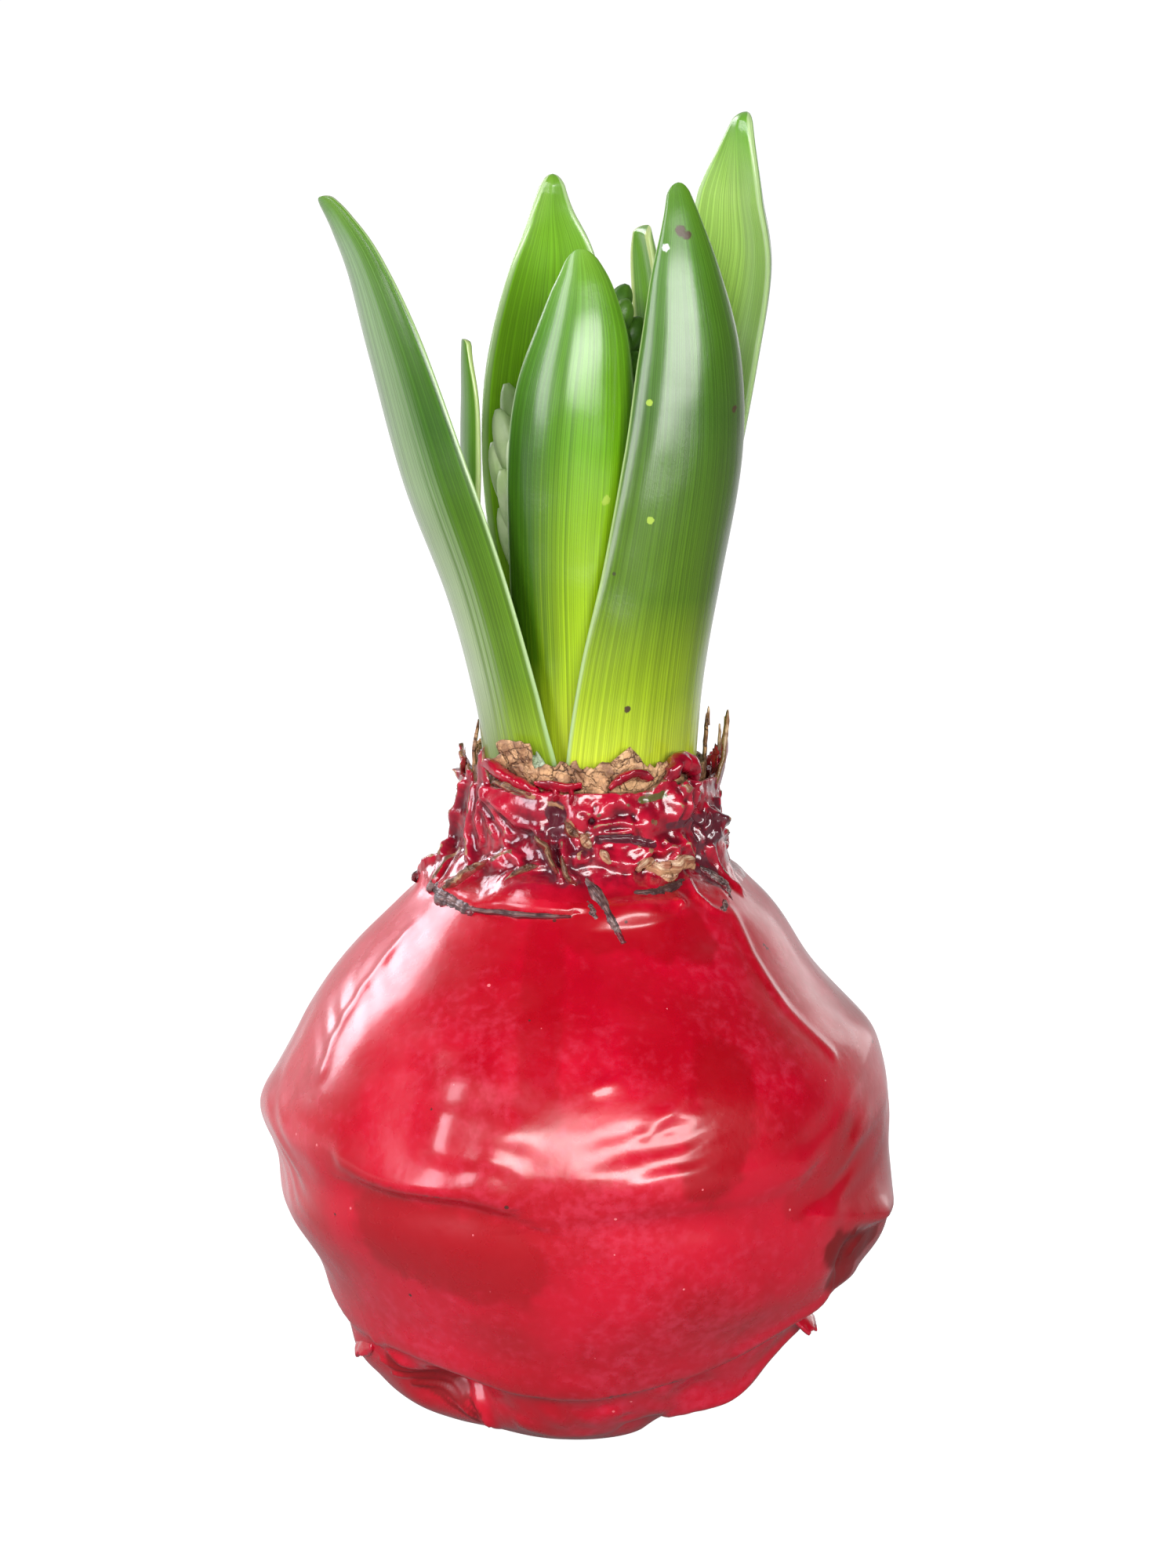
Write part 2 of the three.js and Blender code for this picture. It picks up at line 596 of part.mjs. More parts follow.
// Papery scraps round the neck's rim, grown by the gap where they make room in the wax
function tunicScraps(grow = 0) {
  const rimRadius = (BULB_OUTLINE.at(-1)[0] + WELL_RADIUS_TOP) / 2;
  return TUNIC_SCRAPS.map((scrap) => {
    const root = bearingDirection(scrap.bearing).multiplyScalar(rimRadius);
    root.add(new THREE.Vector3(NECK_X, 0, scrap.height));
    return flake({ ...scrap, root, taper: SCRAP_TAPER }, grow);
  });
}

function bulb() {
  return mainBody(fuse([toSolid(loft(bulbRings())), ...tunicScraps()]).subtract(leafWell()));
}

// Space inside the wax: the bulb with its clearance, the scraps, and the room above the neck
function waxCavity() {
  const opening = levelRing(BULB_SIDES, NECK_X, LEAF_ROOM_TOP, () => LEAF_ROOM_RADIUS_TOP + GAP);
  const bulbRoom = toSolid(loft([...bulbRings(GAP), opening]));
  return fuse([bulbRoom, ...tunicScraps(GAP)]);
}

function waxCoat() {
  const dipped = fuse([waxBody(), ...collarFlakes(), ...SEALED_STRIPS.map(sealedStrip)]);
  return mainBody(dipped.subtract(waxCavity()));
}

// Leaves

// Stations of a leaf inside the neck, on the circle of its layer
function neckStations({ layer, bearing, half }) {
  return [WELL_FLOOR + GAP, (WELL_FLOOR + NECK_TOP) / 2, NECK_TOP + NECK_LEAF_RISE].map((height) => {
    const share = (height - WELL_FLOOR) / (NECK_TOP - WELL_FLOOR);
    const wall = THREE.MathUtils.lerp(WELL_RADIUS_FLOOR, WELL_RADIUS_TOP, Math.min(share, 1));
    const radius = wall - LEAF_CLEARANCE - layer * LEAF_LAYER_STEP;
    const keel = bearingDirection(bearing).multiplyScalar(radius);
    return [keel.x + NECK_X, keel.y, height, radius, half * radius / WELL_RADIUS_TOP];
  });
}

// One section: the outer face is an arc, and the blade thins from its keel to its margins
function leafSection({ keel, outward, sideways, rolled, half, thick }) {
  const reach = half / rolled;
  const point = (turn, radius) => keel.clone()
    .addScaledVector(sideways, radius * Math.sin(turn))
    .addScaledVector(outward, radius * Math.cos(turn) - rolled);
  const outer = [];
  const inner = [];
  for (let index = 0; index < LEAF_SECTION_POINTS; index += 1) {
    const across = 2 * index / (LEAF_SECTION_POINTS - 1) - 1;
    const edge = Math.min(LEAF_EDGE_THICKNESS, LEAF_EDGE_SHARE * thick);
    const depth = edge + (thick - edge) * (1 - across * across);
    outer.push(point(across * reach, rolled));
    inner.unshift(point(across * reach, rolled - depth));
  }
  return outer.concat(inner);
}

function leaf(name) {
  const blade = LEAVES[name];
  const stations = neckStations(blade).concat(blade.stations);
  const keelLine = smoothRow(stations);
  const shape = smoothRow(stations.map((station) => [station[3], station[4], 0]));
  const neckEnd = 2 / (stations.length - 1);
  const rings = [];
  for (let row = 0; row <= LEAF_SECTIONS; row += 1) {
    const even = row / LEAF_SECTIONS;
    const share = 1 - (1 - even) ** LEAF_CROWDING;
    const keel = keelLine.getPoint(share);
    const along = keelLine.getTangent(share);
    const free = THREE.MathUtils.smoothstep(share, neckEnd, LEAF_TURNED_BY);
    const bearing = blade.bearing + turnBetween(blade.tipBearing, blade.bearing) * free;
    const level = bearingDirection(bearing);
    const outward = level.addScaledVector(along, -level.dot(along)).normalize();
    const sideways = new THREE.Vector3().crossVectors(along, outward);
    const [rolled, half] = shape.getPoint(share).toArray();
    const past = Math.max(0, (share - LEAF_TIP_ROUND_FROM) / (1 - LEAF_TIP_ROUND_FROM));
    const rounding = Math.sqrt(Math.max(0, 1 - past * past) + LEAF_TIP_BLUNT);
    const full = THREE.MathUtils.lerp(NECK_LEAF_THICKNESS, blade.thick, free);
    const thick = Math.min(full, LEAF_ROLL_SHARE * rolled) * Math.min(1, rounding + LEAF_TIP_THICKER);
    rings.push(leafSection({ keel, outward, sideways, rolled, half: half * rounding, thick }));
  }
  return toSolid(loft(rings));
}

// Flower spike

function bud(root, direction, length, radius) {
  const turn = new THREE.Quaternion().setFromUnitVectors(up, direction);
  const rings = BUD_PROFILE.map(([wide, high]) => levelRing(BUD_SIDES, 0, high * length, () => wide * radius)
    .map((point) => point.applyQuaternion(turn).add(root)));
  return toSolid(loft(rings));
}

function flowerSpike() {
  const core = smoothRow(SPIKE_STATIONS);
  const rings = [];
  for (let row = 0; row <= SPIKE_ROWS; row += 1) {
    const [x, height, radius] = core.getPoint(row / SPIKE_ROWS).toArray();
    rings.push(levelRing(SPIKE_SIDES, x, height, () => radius).map((point) => point.setY(point.y + SPIKE_Y)));
  }
  const pieces = [toSolid(loft(rings))];
  for (let index = 0; index < BUD_COUNT; index += 1) {
    const share = index / (BUD_COUNT - 1);
    const height = THREE.MathUtils.lerp(BUD_FROM, BUD_TO, share ** BUD_CROWDING);
    const { x, z: radius } = core.getPoint(shareAtHeight(core, height));
    const outward = bearingDirection(index * GOLDEN_TURN);
    const lean = radians(THREE.MathUtils.lerp(BUD_LEAN_LOW, BUD_LEAN_HIGH, share));
    const direction = up.clone().multiplyScalar(Math.cos(lean)).addScaledVector(outward, Math.sin(lean));
    const root = outward.clone().multiplyScalar(Math.max(radius - BUD_SINK, 0));
    root.add(new THREE.Vector3(x, SPIKE_Y, height - BUD_SINK));
    const length = THREE.MathUtils.lerp(BUD_LENGTH_LOW, BUD_LENGTH_HIGH, share);
    const wide = THREE.MathUtils.lerp(BUD_RADIUS_LOW, BUD_RADIUS_HIGH, share);
    pieces.push(bud(root, direction, length, wide));
  }
  return fuse(pieces);
}

// Assembly

function piece(name, solid, colour, roughness) {
  const material = new THREE.MeshStandardMaterial({ color: colour, roughness, metalness: 0 });
  const mesh = new THREE.Mesh(fromSolid(solid), material);
  mesh.name = name;
  return mesh;
}

const hyacinth = new THREE.Group();
hyacinth.add(piece('wax_coat', waxCoat(), RED_WAX, WAX_ROUGHNESS));
hyacinth.add(piece('bulb', bulb(), TUNIC_BROWN, TUNIC_ROUGHNESS));
for (const name of Object.keys(LEAVES)) {
  const colour = LEAVES[name].layer === 2 ? INNER_LEAF_GREEN : LEAF_GREEN;
  hyacinth.add(piece(name, leaf(name), colour, LEAF_ROUGHNESS));
}
hyacinth.add(piece('flower_spike', flowerSpike(), BUD_GREEN, BUD_ROUGHNESS));

export default hyacinth;
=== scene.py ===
import math

import bpy
import numpy as np
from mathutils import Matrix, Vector
from mathutils.kdtree import KDTree


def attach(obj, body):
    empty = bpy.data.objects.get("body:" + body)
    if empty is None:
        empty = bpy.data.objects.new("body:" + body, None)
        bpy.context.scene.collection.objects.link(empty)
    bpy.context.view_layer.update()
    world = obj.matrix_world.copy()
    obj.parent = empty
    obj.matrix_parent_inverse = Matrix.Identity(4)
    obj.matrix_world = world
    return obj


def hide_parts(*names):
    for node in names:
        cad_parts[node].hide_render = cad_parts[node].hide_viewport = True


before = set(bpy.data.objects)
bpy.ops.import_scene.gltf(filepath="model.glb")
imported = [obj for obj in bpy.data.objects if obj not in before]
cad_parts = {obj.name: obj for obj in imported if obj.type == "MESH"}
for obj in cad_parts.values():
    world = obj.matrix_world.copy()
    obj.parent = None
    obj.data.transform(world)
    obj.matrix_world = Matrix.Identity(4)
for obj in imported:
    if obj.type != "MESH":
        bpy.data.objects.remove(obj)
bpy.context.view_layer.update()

# Lengths are in millimetres, and bearings in degrees: 0 is the front, 90 the right, 180 the back. Softboxes,
# the places that a material reads and its bump distances are in metres.
MM = 0.001
FAR_AWAY = 1e3
WHITE = (1.0, 1.0, 1.0)

# Camera at the photograph's angle
CAMERA_TARGET = (1.22, 0.0, 73.1)
CAMERA_DISTANCE = 800.0
CAMERA_ELEVATION = 10.0
CAMERA_SENSOR = 36.0
CAMERA_LENS = 165.1
CAMERA_REACH = 50.0

# Studio light
FLOOR_GLOW = 0.98
FLOOR_ALBEDO = 0.26
FLOOR_LIGHT_FRONT = 0.06
FLOOR_LIGHT_BEHIND = 0.62
FLOOR_LIGHT_WAY = (-0.6, 1.0, 0.0)
FLOOR_LIGHT_REACH = (0.02, 0.16)
FLOOR_DROP = -0.05
FLOOR_SIDE = 6000.0
ROOM_LIGHT = 0.03
LILAC_LIGHT = (0.95, 0.90, 1.0)
BACKDROP_LIGHT = 0.60
BACKDROP_REACH = (0.05, 0.60)
BACKDROP_WAY = (-0.25, 0.97, 0.0)
SOFTBOX_AIM = (0.0, 0.0, 0.06)

# Outline of the wax: radius and height at the front, right, back and left, from the foot up
WAX_OUTLINE = [
    [(8.0, 0.0), (8.0, 0.0), (8.0, 0.0), (8.0, 0.0)],
    [(13.4, 1.7), (11.8, 3.2), (13.6, 2.0), (14.0, 2.4)],
    [(18.2, 4.4), (18.8, 5.8), (18.8, 4.6), (20.4, 4.6)],
    [(20.8, 7.4), (22.6, 9.0), (21.6, 8.0), (23.4, 8.0)],
    [(24.0, 10.0), (27.2, 14.2), (25.0, 11.4), (25.2, 12.4)],
    [(30.4, 18.6), (33.4, 20.0), (29.9, 18.6), (29.2, 20.0)],
    [(33.4, 26.8), (35.2, 25.6), (32.7, 26.4), (33.0, 25.8)],
    [(34.1, 32.0), (34.9, 32.2), (33.9, 32.0), (34.0, 31.2)],
    [(34.9, 36.8), (34.7, 37.4), (34.5, 36.8), (35.1, 37.7)],
    [(32.7, 44.4), (32.9, 45.0), (32.4, 44.6), (31.6, 45.2)],
    [(27.3, 52.6), (26.4, 52.9), (26.9, 52.8), (26.5, 52.9)],
    [(20.8, 59.4), (21.6, 59.5), (20.7, 59.5), (20.2, 59.4)],
    [(16.0, 65.2), (16.4, 65.5), (16.0, 65.4), (14.2, 65.5)],
    [(14.8, 70.0), (15.5, 70.2), (14.8, 70.0), (12.9, 70.0)],
    [(14.4, 74.6), (15.5, 74.6), (14.2, 74.2), (12.7, 74.4)],
]
WAX_SIDES = 400
BODY_ROWS = 196
NECK_ROWS = 36
NECK_ROWS_FROM = 0.77
# The body's skin ends under the collar, and the collar's foot lies under the body's skin
SKIN_ENDS_AT = 0.855
SKIN_DIVES = (62.8, 64.8, 1.5)
COLLAR_ROOTS = (60.8, 62.6, 1.0)
# How far up the wax its lumps, finer relief and unevenness start and end, as pairs of heights
LUMPS_START = (0.2, 2.4)
RELIEF_STARTS = (0.3, 3.0)
RUMPLE_ENDS = (60, 66)
EVEN_NECK = (62.0, 70.0)
FORMS_START = (60.0, 61.5)
CRUMPLE_STARTS = (61.0, 64.5)
WRINKLES_START = (62.5, 65.0)
SEARCH_ROWS = 600

# Lumps and dents of the wax: bearing, height, spread round, spread up, rise
WAX_LUMPS = {
    "bulge over the crease": (17, 35.6, 8.5, 3.6, 1.0),
    "left ripple": (-25, 40.5, 2.9, 5.0, 0.7),
    "middle ripple": (-16, 37.5, 2.8, 5.5, 0.6),
    "crease lip": (-27, 34.4, 8.0, 1.6, 0.7),
    "right hollow": (66, 21.5, 4.6, 4.2, -1.2),
    "brow of the hollow": (74, 26.4, 6.0, 2.0, 0.9),
    "left corner": (-86, 37.8, 14.0, 2.4, 0.5),
    "left facet": (-78, 31.0, 8.0, 3.6, -0.8),
    "right corner": (84, 45.8, 8.0, 2.0, 0.4),
    "pocket": (-38, 6.4, 5.2, 3.0, -3.0),
    "pocket lip": (-46, 3.2, 7.0, 1.5, 0.9),
    "left foot flap": (-74, 10.6, 4.0, 2.6, 1.0),
    "right foot lobe": (54, 7.4, 5.5, 2.4, 1.3),
    "foot notch": (30, 2.2, 3.2, 1.8, -1.3),
    "foot dimple": (38, 8.2, 2.6, 1.8, -1.1),
    "back lobe": (165, 6.0, 8.0, 3.0, 1.3),
    "back fold": (205, 33.0, 13.0, 2.2, -0.9),
    "back bulge": (150, 40.0, 10.0, 5.0, 0.9),
    "neck bump left": (-82, 63.4, 3.0, 1.7, 1.2),
    "neck bump right": (72, 67.4, 3.2, 2.6, 0.9),
    "neck bump back": (190, 66.0, 5.0, 2.0, 1.2),
}
# Finer lumps, dimples and blisters of the wax skin
SMALL_LUMPS = {
    "left shoulder ripple": (-28.6, 48.9, 2.6, 2.6, 0.26),
    "middle shoulder ripple": (-21.3, 45.6, 2.6, 3.0, 0.26),
    "right shoulder ripple": (-11.0, 41.5, 2.2, 2.6, 0.20),
    "swell between the ripples": (-22.5, 39.0, 4.4, 4.5, 0.30),
    "arc over the bulge": (18.5, 42.4, 3.2, 0.9, 0.26),
    "small highlight swell": (6.0, 45.7, 1.7, 0.8, 0.22),
    "right belly swell": (44.0, 40.0, 9.0, 5.0, 0.55),
    "left belly swell": (-52.0, 41.0, 9.0, 6.0, 0.50),
    "small blister": (35.9, 62.2, 0.9, 0.8, 0.30),
    "first foot dimple": (24.6, 9.4, 1.1, 0.8, -0.55),
    "second foot dimple": (9.0, 6.9, 1.0, 0.7, -0.45),
    "third foot dimple": (17.0, 5.2, 0.9, 0.6, -0.35),
    "foot bead": (0.0, 7.8, 1.6, 0.9, 0.35),
    "neck bulge left": (-19.0, 63.6, 4.2, 1.5, 0.55),
    "neck bulge right": (17.5, 61.9, 4.0, 1.4, 0.45),
    "right neck dent": (40.0, 58.8, 3.0, 1.4, -0.30),
    "back dimple": (150.0, 22.0, 6.0, 3.0, -0.50),
    "back shoulder swell": (220.0, 48.0, 7.0, 3.0, 0.45),
    "side dimple": (110.0, 30.0, 4.0, 3.4, -0.60),
    "pocket's floor": (-50.0, 7.2, 3.0, 2.4, -1.3),
}
# Folds of the wax skin: a line of bearing and height points, its width above and below, and its rise
WAX_FOLDS = {
    "crease left": (
        [(-46, 35.8), (-39, 34.8), (-32.5, 34.4), (-26, 34.2), (-19.4, 33.8), (-13, 33.0)], 1.5, 0.9, 0.46),
    "under the crease left": (
        [(-44, 33.4), (-32.5, 32.4), (-26, 32.3), (-19.4, 31.9), (-9, 30.6)], 0.7, 2.6, -0.32),
    "crease right": (
        [(-8, 32.2), (0, 32.6), (6.2, 32.9), (17.5, 33.3), (26, 33.2), (33.9, 33.7), (42, 34.6)],
        3.6, 2.3, 0.56),
    "under the crease right": (
        [(-8, 30.0), (6.2, 30.9), (17.5, 31.4), (33.9, 31.6), (45, 32.6)], 1.0, 3.2, -0.14),
    "crease far right": ([(45, 34.6), (56.1, 35.8), (68, 37.4), (80, 38.6)], 2.4, 1.2, 0.30),
    "lower ridge": (
        [(-80, 16.2), (-67.9, 14.4), (-45.6, 13.1), (-32, 11.4), (-20.1, 10.0), (-6, 9.6), (8, 9.8),
         (26.9, 11.2), (40, 12.8), (53.1, 15.0), (62.2, 18.8)], 2.6, 0.9, 0.60),
    "under the lower ridge": (
        [(-60, 12.6), (-45.6, 11.6), (-32, 10.0), (-20.1, 8.6), (-6, 8.2), (8, 8.4), (26.9, 9.8), (40, 11.4),
         (53.1, 13.4)], 0.5, 1.4, -0.50),
    "pocket rim": ([(-57.9, 12.6), (-52, 9.8), (-46, 8.0), (-40, 5.4), (-36.6, 3.2)], 0.9, 0.5, 0.7),
    "pocket fold one": ([(-60, 8.6), (-52, 6.6), (-44, 4.6)], 0.4, 0.4, 0.5),
    "pocket fold two": ([(-58, 6.8), (-50, 5.0), (-43, 3.6)], 0.35, 0.35, 0.45),
    "pocket fold three": ([(-62, 10.4), (-55, 8.6), (-48, 6.4)], 0.35, 0.35, 0.4),
    "foot drip": ([(-20, 4.0), (-8, 2.6), (6, 3.0), (18, 2.4)], 0.9, 0.9, 0.4),
    "right foot fold": ([(36, 4.6), (48, 6.4), (60, 9.8), (68, 13.2)], 0.8, 0.8, 0.5),
    "left streak": ([(-62.7, 58.1), (-61, 52.0), (-60.4, 47.4), (-58, 44.0)], 0.9, 0.9, 0.22),
    "right shoulder streak": ([(55.6, 60.6), (53.5, 56.6), (55, 51.0), (60, 46.0)], 0.7, 0.7, 0.22),
    "hollow's upper lip": ([(50, 28.9), (57, 28.0), (66, 26.8), (72, 26.3)], 1.6, 0.5, 0.35),
    "hollow's first wrinkle": ([(62, 25.6), (66, 23.0), (68, 20.2)], 0.4, 0.4, 0.35),
    "hollow's second wrinkle": ([(72, 25.4), (73, 23.0), (72, 20.8)], 0.4, 0.4, 0.30),
    "streak under the hollow": ([(40, 13.6), (50, 15.6), (58, 17.6), (64, 19.6)], 0.6, 0.6, 0.35),
    "shoulder arc": ([(12, 40.6), (15, 41.6), (18, 43.2), (21, 44.2)], 0.8, 0.5, 0.22),
    "small highlight crest": ([(3.4, 45.4), (6, 45.9), (8.4, 46.6)], 0.6, 0.5, 0.20),
    "back crease": (
        [(120, 34.0), (145, 32.0), (170, 33.5), (200, 31.8), (235, 33.0), (262, 34.8)], 2.6, 0.8, 0.50),
    "back ridge": (
        [(110, 16.0), (140, 12.4), (175, 11.6), (210, 12.6), (245, 14.6), (270, 15.4)], 2.4, 0.7, 0.55),
}
# Dents with steep sides: bearing, height, spread round, spread up, rise
WAX_DENTS = {
    "hollow": (74, 22.0, 8.6, 3.6, -1.9),
    "pocket": (-46, 6.6, 4.6, 3.1, -1.2),
    "notch under the hollow": (76, 16.2, 3.4, 1.4, -0.9),
}
DENT_POWER = 4
# Ripples that a thumb leaves in warm wax: bearing, height, spread round and up, wave, slant, rise
WAX_RIPPLES = {
    "left of the front": (-20, 41.0, 6.0, 6.6, 3.8, 0.16, 0.10),
    "over the bulge": (18, 38.0, 7.0, 3.6, 2.3, -0.20, 0.07),
    "left shoulder": (-62, 52.0, 5.0, 7.0, 2.9, 0.50, 0.07),
    "left belly": (-70, 34.0, 7.0, 6.0, 4.2, 0.60, 0.14),
    "right belly": (58, 34.0, 8.0, 7.0, 5.0, -0.50, 0.16),
    "back": (175, 44.0, 14.0, 9.0, 4.6, 0.30, 0.14),
    "foot": (10, 6.0, 12.0, 3.0, 3.4, 0.90, 0.06),
}
RIPPLE_DRIFT = 2.2
RIPPLE_DRIFT_SIZE = 5.0
# Slow unevenness round the wax: its rise, and the heights in which its two waves turn
UNEVEN_RISE = 0.32
UNEVEN_TURNS = (7, 5)
# Rumple of the body's skin: its rise, and the sizes of its large and its small lumps
SKIN_RUMPLE = 0.16
SKIN_RUMPLE_SIZES = (9.0, 4.2)
# Crumple of the collar: its rise, how far noise bends it, the sizes and the shares of its large and its
# small crinkles, and how much of it is lost where the wax lies smooth
NECK_RUMPLE = 0.55
CRUMPLE_BEND = 0.9
CRUMPLE_BEND_SIZE = 2.2
CRUMPLE_SIZES = (3.4, 1.5)
CRUMPLE_SHARES = (1.2, 0.5)
CRUMPLE_CALMED = 0.85

# Leaves: layer in the neck, bearing and half width there, bearing at the tip, thickness, and the stations
# of the free blade: the keel's x, y and z, the radius the blade is rolled to and half its width
LEAVES = {
    "leaf_left": (0, -72, 11.6, -58, 1.7, [
        (-11.0, -4.6, 84, 11.2, 10.0), (-13.7, -5.6, 95, 10.2, 8.8), (-18.1, -6.2, 107.6, 9.4, 8.4),
        (-21.7, -6.2, 121.6, 8.0, 6.5), (-24.1, -5.6, 130.6, 6.2, 4.3), (-26.3, -5.1, 135.8, 4.0, 2.6),
        (-28.1, -4.8, 138.9, 2.0, 1.2)]),
    "leaf_right": (0, 42, 11.8, 20, 1.8, [
        (10.3, -10.2, 87, 11.0, 10.7), (11.7, -11.4, 98, 10.0, 9.4), (13.4, -11.6, 111, 9.2, 8.7),
        (13.4, -11.0, 121.6, 8.0, 7.3), (12.5, -10.0, 130.6, 6.0, 4.9), (11.7, -8.9, 136.8, 3.9, 2.6),
        (11.0, -7.9, 140.8, 2.0, 1.2)]),
    "leaf_front": (1, -12, 7.4, 2, 1.7, [
        (-0.9, -10.5, 88, 9.8, 7.4), (-1.1, -11.2, 99, 9.2, 7.9), (-0.7, -11.5, 109, 9.0, 8.5),
        (-0.1, -11.3, 117, 8.2, 8.2), (0.6, -10.5, 124, 6.6, 6.5), (0.7, -9.3, 129.6, 4.6, 4.1),
        (0.4, -8.0, 133.6, 2.2, 1.4)]),
    "leaf_back_left": (1, 190, 7.8, 182, 1.6, [
        (-2.0, 10.8, 92, 10.0, 8.3), (-3.3, 11.6, 105, 9.8, 9.1), (-3.3, 11.8, 114, 9.6, 9.2),
        (-3.0, 11.7, 122, 8.8, 8.0), (-2.6, 10.9, 130.6, 6.4, 5.7), (-2.8, 10.0, 136.2, 4.0, 2.8),
        (-2.7, 9.1, 140.2, 2.0, 1.2)]),
    "leaf_back_right": (0, 147, 8.6, 134, 1.6, [
        (10.4, 10.8, 94, 10.6, 8.6), (14.4, 10.8, 109, 9.4, 8.4), (17.2, 10.3, 121, 9.0, 8.1),
        (19.1, 9.6, 131, 8.4, 7.9), (18.8, 8.8, 138, 6.4, 6.0), (18.7, 8.2, 143.4, 4.0, 3.2),
        (18.8, 7.8, 147.2, 2.1, 1.3)]),
    "leaf_inner_right": (2, 100, 4.0, 116, 1.2, [
        (10.2, 2.8, 90, 7.0, 4.2), (10.4, 4.6, 106, 6.0, 4.3), (10.0, 5.6, 119, 5.0, 4.3),
        (9.2, 5.9, 127.0, 4.4, 4.0), (8.5, 5.7, 131.8, 3.6, 3.3), (7.9, 5.2, 134.9, 2.6, 2.1)]),
    "leaf_inner_left": (2, -95, 3.8, -66, 1.1, [
        (-9.6, 1.4, 89, 6.6, 3.3), (-12.2, 1.4, 100, 5.6, 3.1), (-12.6, 0.9, 109, 5.0, 3.0),
        (-12.5, 0.6, 116, 4.0, 2.3), (-12.6, 0.5, 120.4, 2.6, 1.3), (-12.6, 0.4, 122.8, 1.6, 0.7)]),
}
LEAF_ROWS = 150
LEAF_ACROSS = 33
LEAF_EDGE_THICKNESS = 0.7
LEAF_TIP_ROUND_FROM = 0.965
NECK_LEAF_THICKNESS = 1.35
LEAF_CLEARANCE = 0.4
LEAF_LAYER_STEP = 1.8
LEAF_ROWS_TO_TIP = 1.25
LEAF_FREE_AT = 0.75
LEAF_TIP_BLUNT = 0.004
LEAF_EDGE_POWER = 14
LEAF_TIP_THICKNESS = 0.05
# A blade is no thicker than this share of the radius that it is rolled to, and its edge than this share of it
LEAF_THICK_SHARE = 0.55
LEAF_EDGE_SHARE = 0.6

# Neck of the bulb and the well in it that the leaves stand in
NECK_X = 1.4
NECK_TOP = 76.0
WELL_FLOOR = 62.0
WELL_RADIUS_FLOOR = 11.2
WELL_RADIUS_TOP = 12.35
GAP = 0.3

# Natural bulb: radius and height from the basal plate to the neck
BULB_OUTLINE = [
    (8.0, 6.4), (13.6, 7.8), (18.4, 12.2), (25.4, 19.4), (30.0, 27.0), (31.6, 34.4), (30.2, 42.5),
    (25.2, 50.6), (18.8, 57.4), (14.5, 62.8), (13.05, 67.6), (12.9, NECK_TOP),
]
NECK_SHIFT = (48.0, 68.0)
RAGGED_RIM_FROM = 70.0
RAGGED_RIM_UP = 0.8
RAGGED_RIM_OUT = 0.14
RIM_INSET = 0.12
RIM_DROP = 0.1
BULB_SIDES = 120
BULB_ROWS = 60

# Flower spike: centre x, height and radius of its core
SPIKE_Y = -0.2
SPIKE_STATIONS = [
    (1.4, 62.3, 4.4), (1.2, 76, 4.4), (0.3, 90, 4.1), (-1.1, 98, 4.9), (-1.5, 106, 5.9), (-0.5, 114, 5.6),
    (1.5, 121.5, 4.9), (2.4, 127.2, 2.7),
]


# Small mathematics

UP = np.array([0.0, 0.0, 1.0])
TINY_STEP = 0.0001
HASH_STEPS = np.array([73856093, 19349663, 83492791])
HASH_SHIFT = 13
HASH_TURN = 1274126177
HASH_MASK = 0x7FFFFFFF
HASH_VALUES = 20011
HASH_HALF = 10005.0


def bearing_direction(bearing):
    angle = np.radians(bearing)
    return np.stack([np.sin(angle), -np.cos(angle), np.zeros_like(angle)], axis=-1)


def ring_bearings(sides):
    return np.arange(sides) * 360.0 / sides


# Bearing, radius and height of points
def place_round(points):
    bearing = np.degrees(np.arctan2(points[:, 0], -points[:, 1]))
    return bearing, np.maximum(np.hypot(points[:, 0], points[:, 1]), 1.0), points[:, 2]


def turn_between(bearing, other):
    return (bearing - other + 180.0) % 360.0 - 180.0


def smoothstep(value, low, high):
    share = np.clip((value - low) / (high - low), 0.0, 1.0)
    return share * share * (3.0 - 2.0 * share)


def unit(vectors):
    return vectors / np.linalg.norm(vectors, axis=-1, keepdims=True)


# Points of a smooth curve through rows of values, at shares from 0 to 1
def curve_points(rows, shares):
    rows = np.asarray(rows, float)
    padded = np.concatenate([[2 * rows[0] - rows[1]], rows, [2 * rows[-1] - rows[-2]]])
    place = np.clip(shares, 0.0, 1.0) * (len(rows) - 1)
    first = np.minimum(place.astype(int), len(rows) - 2)
    part = (place - first).reshape((-1,) + (1,) * (rows.ndim - 1))
    before, start, end, after = (padded[first + step] for step in range(4))
    leave = 0.5 * (end - before)
    arrive = 0.5 * (after - start)
    square = part * part
    cube = square * part
    return (start + leave * part + (3 * (end - start) - 2 * leave - arrive) * square
            + (2 * (start - end) + leave + arrive) * cube)


def curve_along(rows, shares):
    low = np.clip(shares - TINY_STEP, 0.0, 1.0)
    high = np.clip(shares + TINY_STEP, 0.0, 1.0)
    return unit(curve_points(rows, high) - curve_points(rows, low))


# Smooth noise between -1 and 1 whose lumps are as wide as size
def rumple(points, size, seed=0):
    place = np.asarray(points, float) / size + 100.0 + 7.3 * seed
    corner = np.floor(place).astype(np.int64)
    part = place - corner
    part = part * part * (3.0 - 2.0 * part)
    total = np.zeros(place.shape[:-1])
    for step in range(8):
        offset = np.array([step & 1, (step >> 1) & 1, step >> 2])
        mixed = np.bitwise_xor.reduce((corner + offset) * HASH_STEPS, axis=-1)
        mixed = (mixed ^ (mixed >> HASH_SHIFT)) * HASH_TURN & HASH_MASK
        value = (mixed % HASH_VALUES) / HASH_HALF - 1.0
        total += np.prod(np.where(offset == 1, part, 1.0 - part), axis=-1) * value
    return total


# Sharp crinkles like crumpled paper, between 0 and 1
def crinkle(points, size, seed=0):
    return 1.0 - np.abs(rumple(points, size, seed))


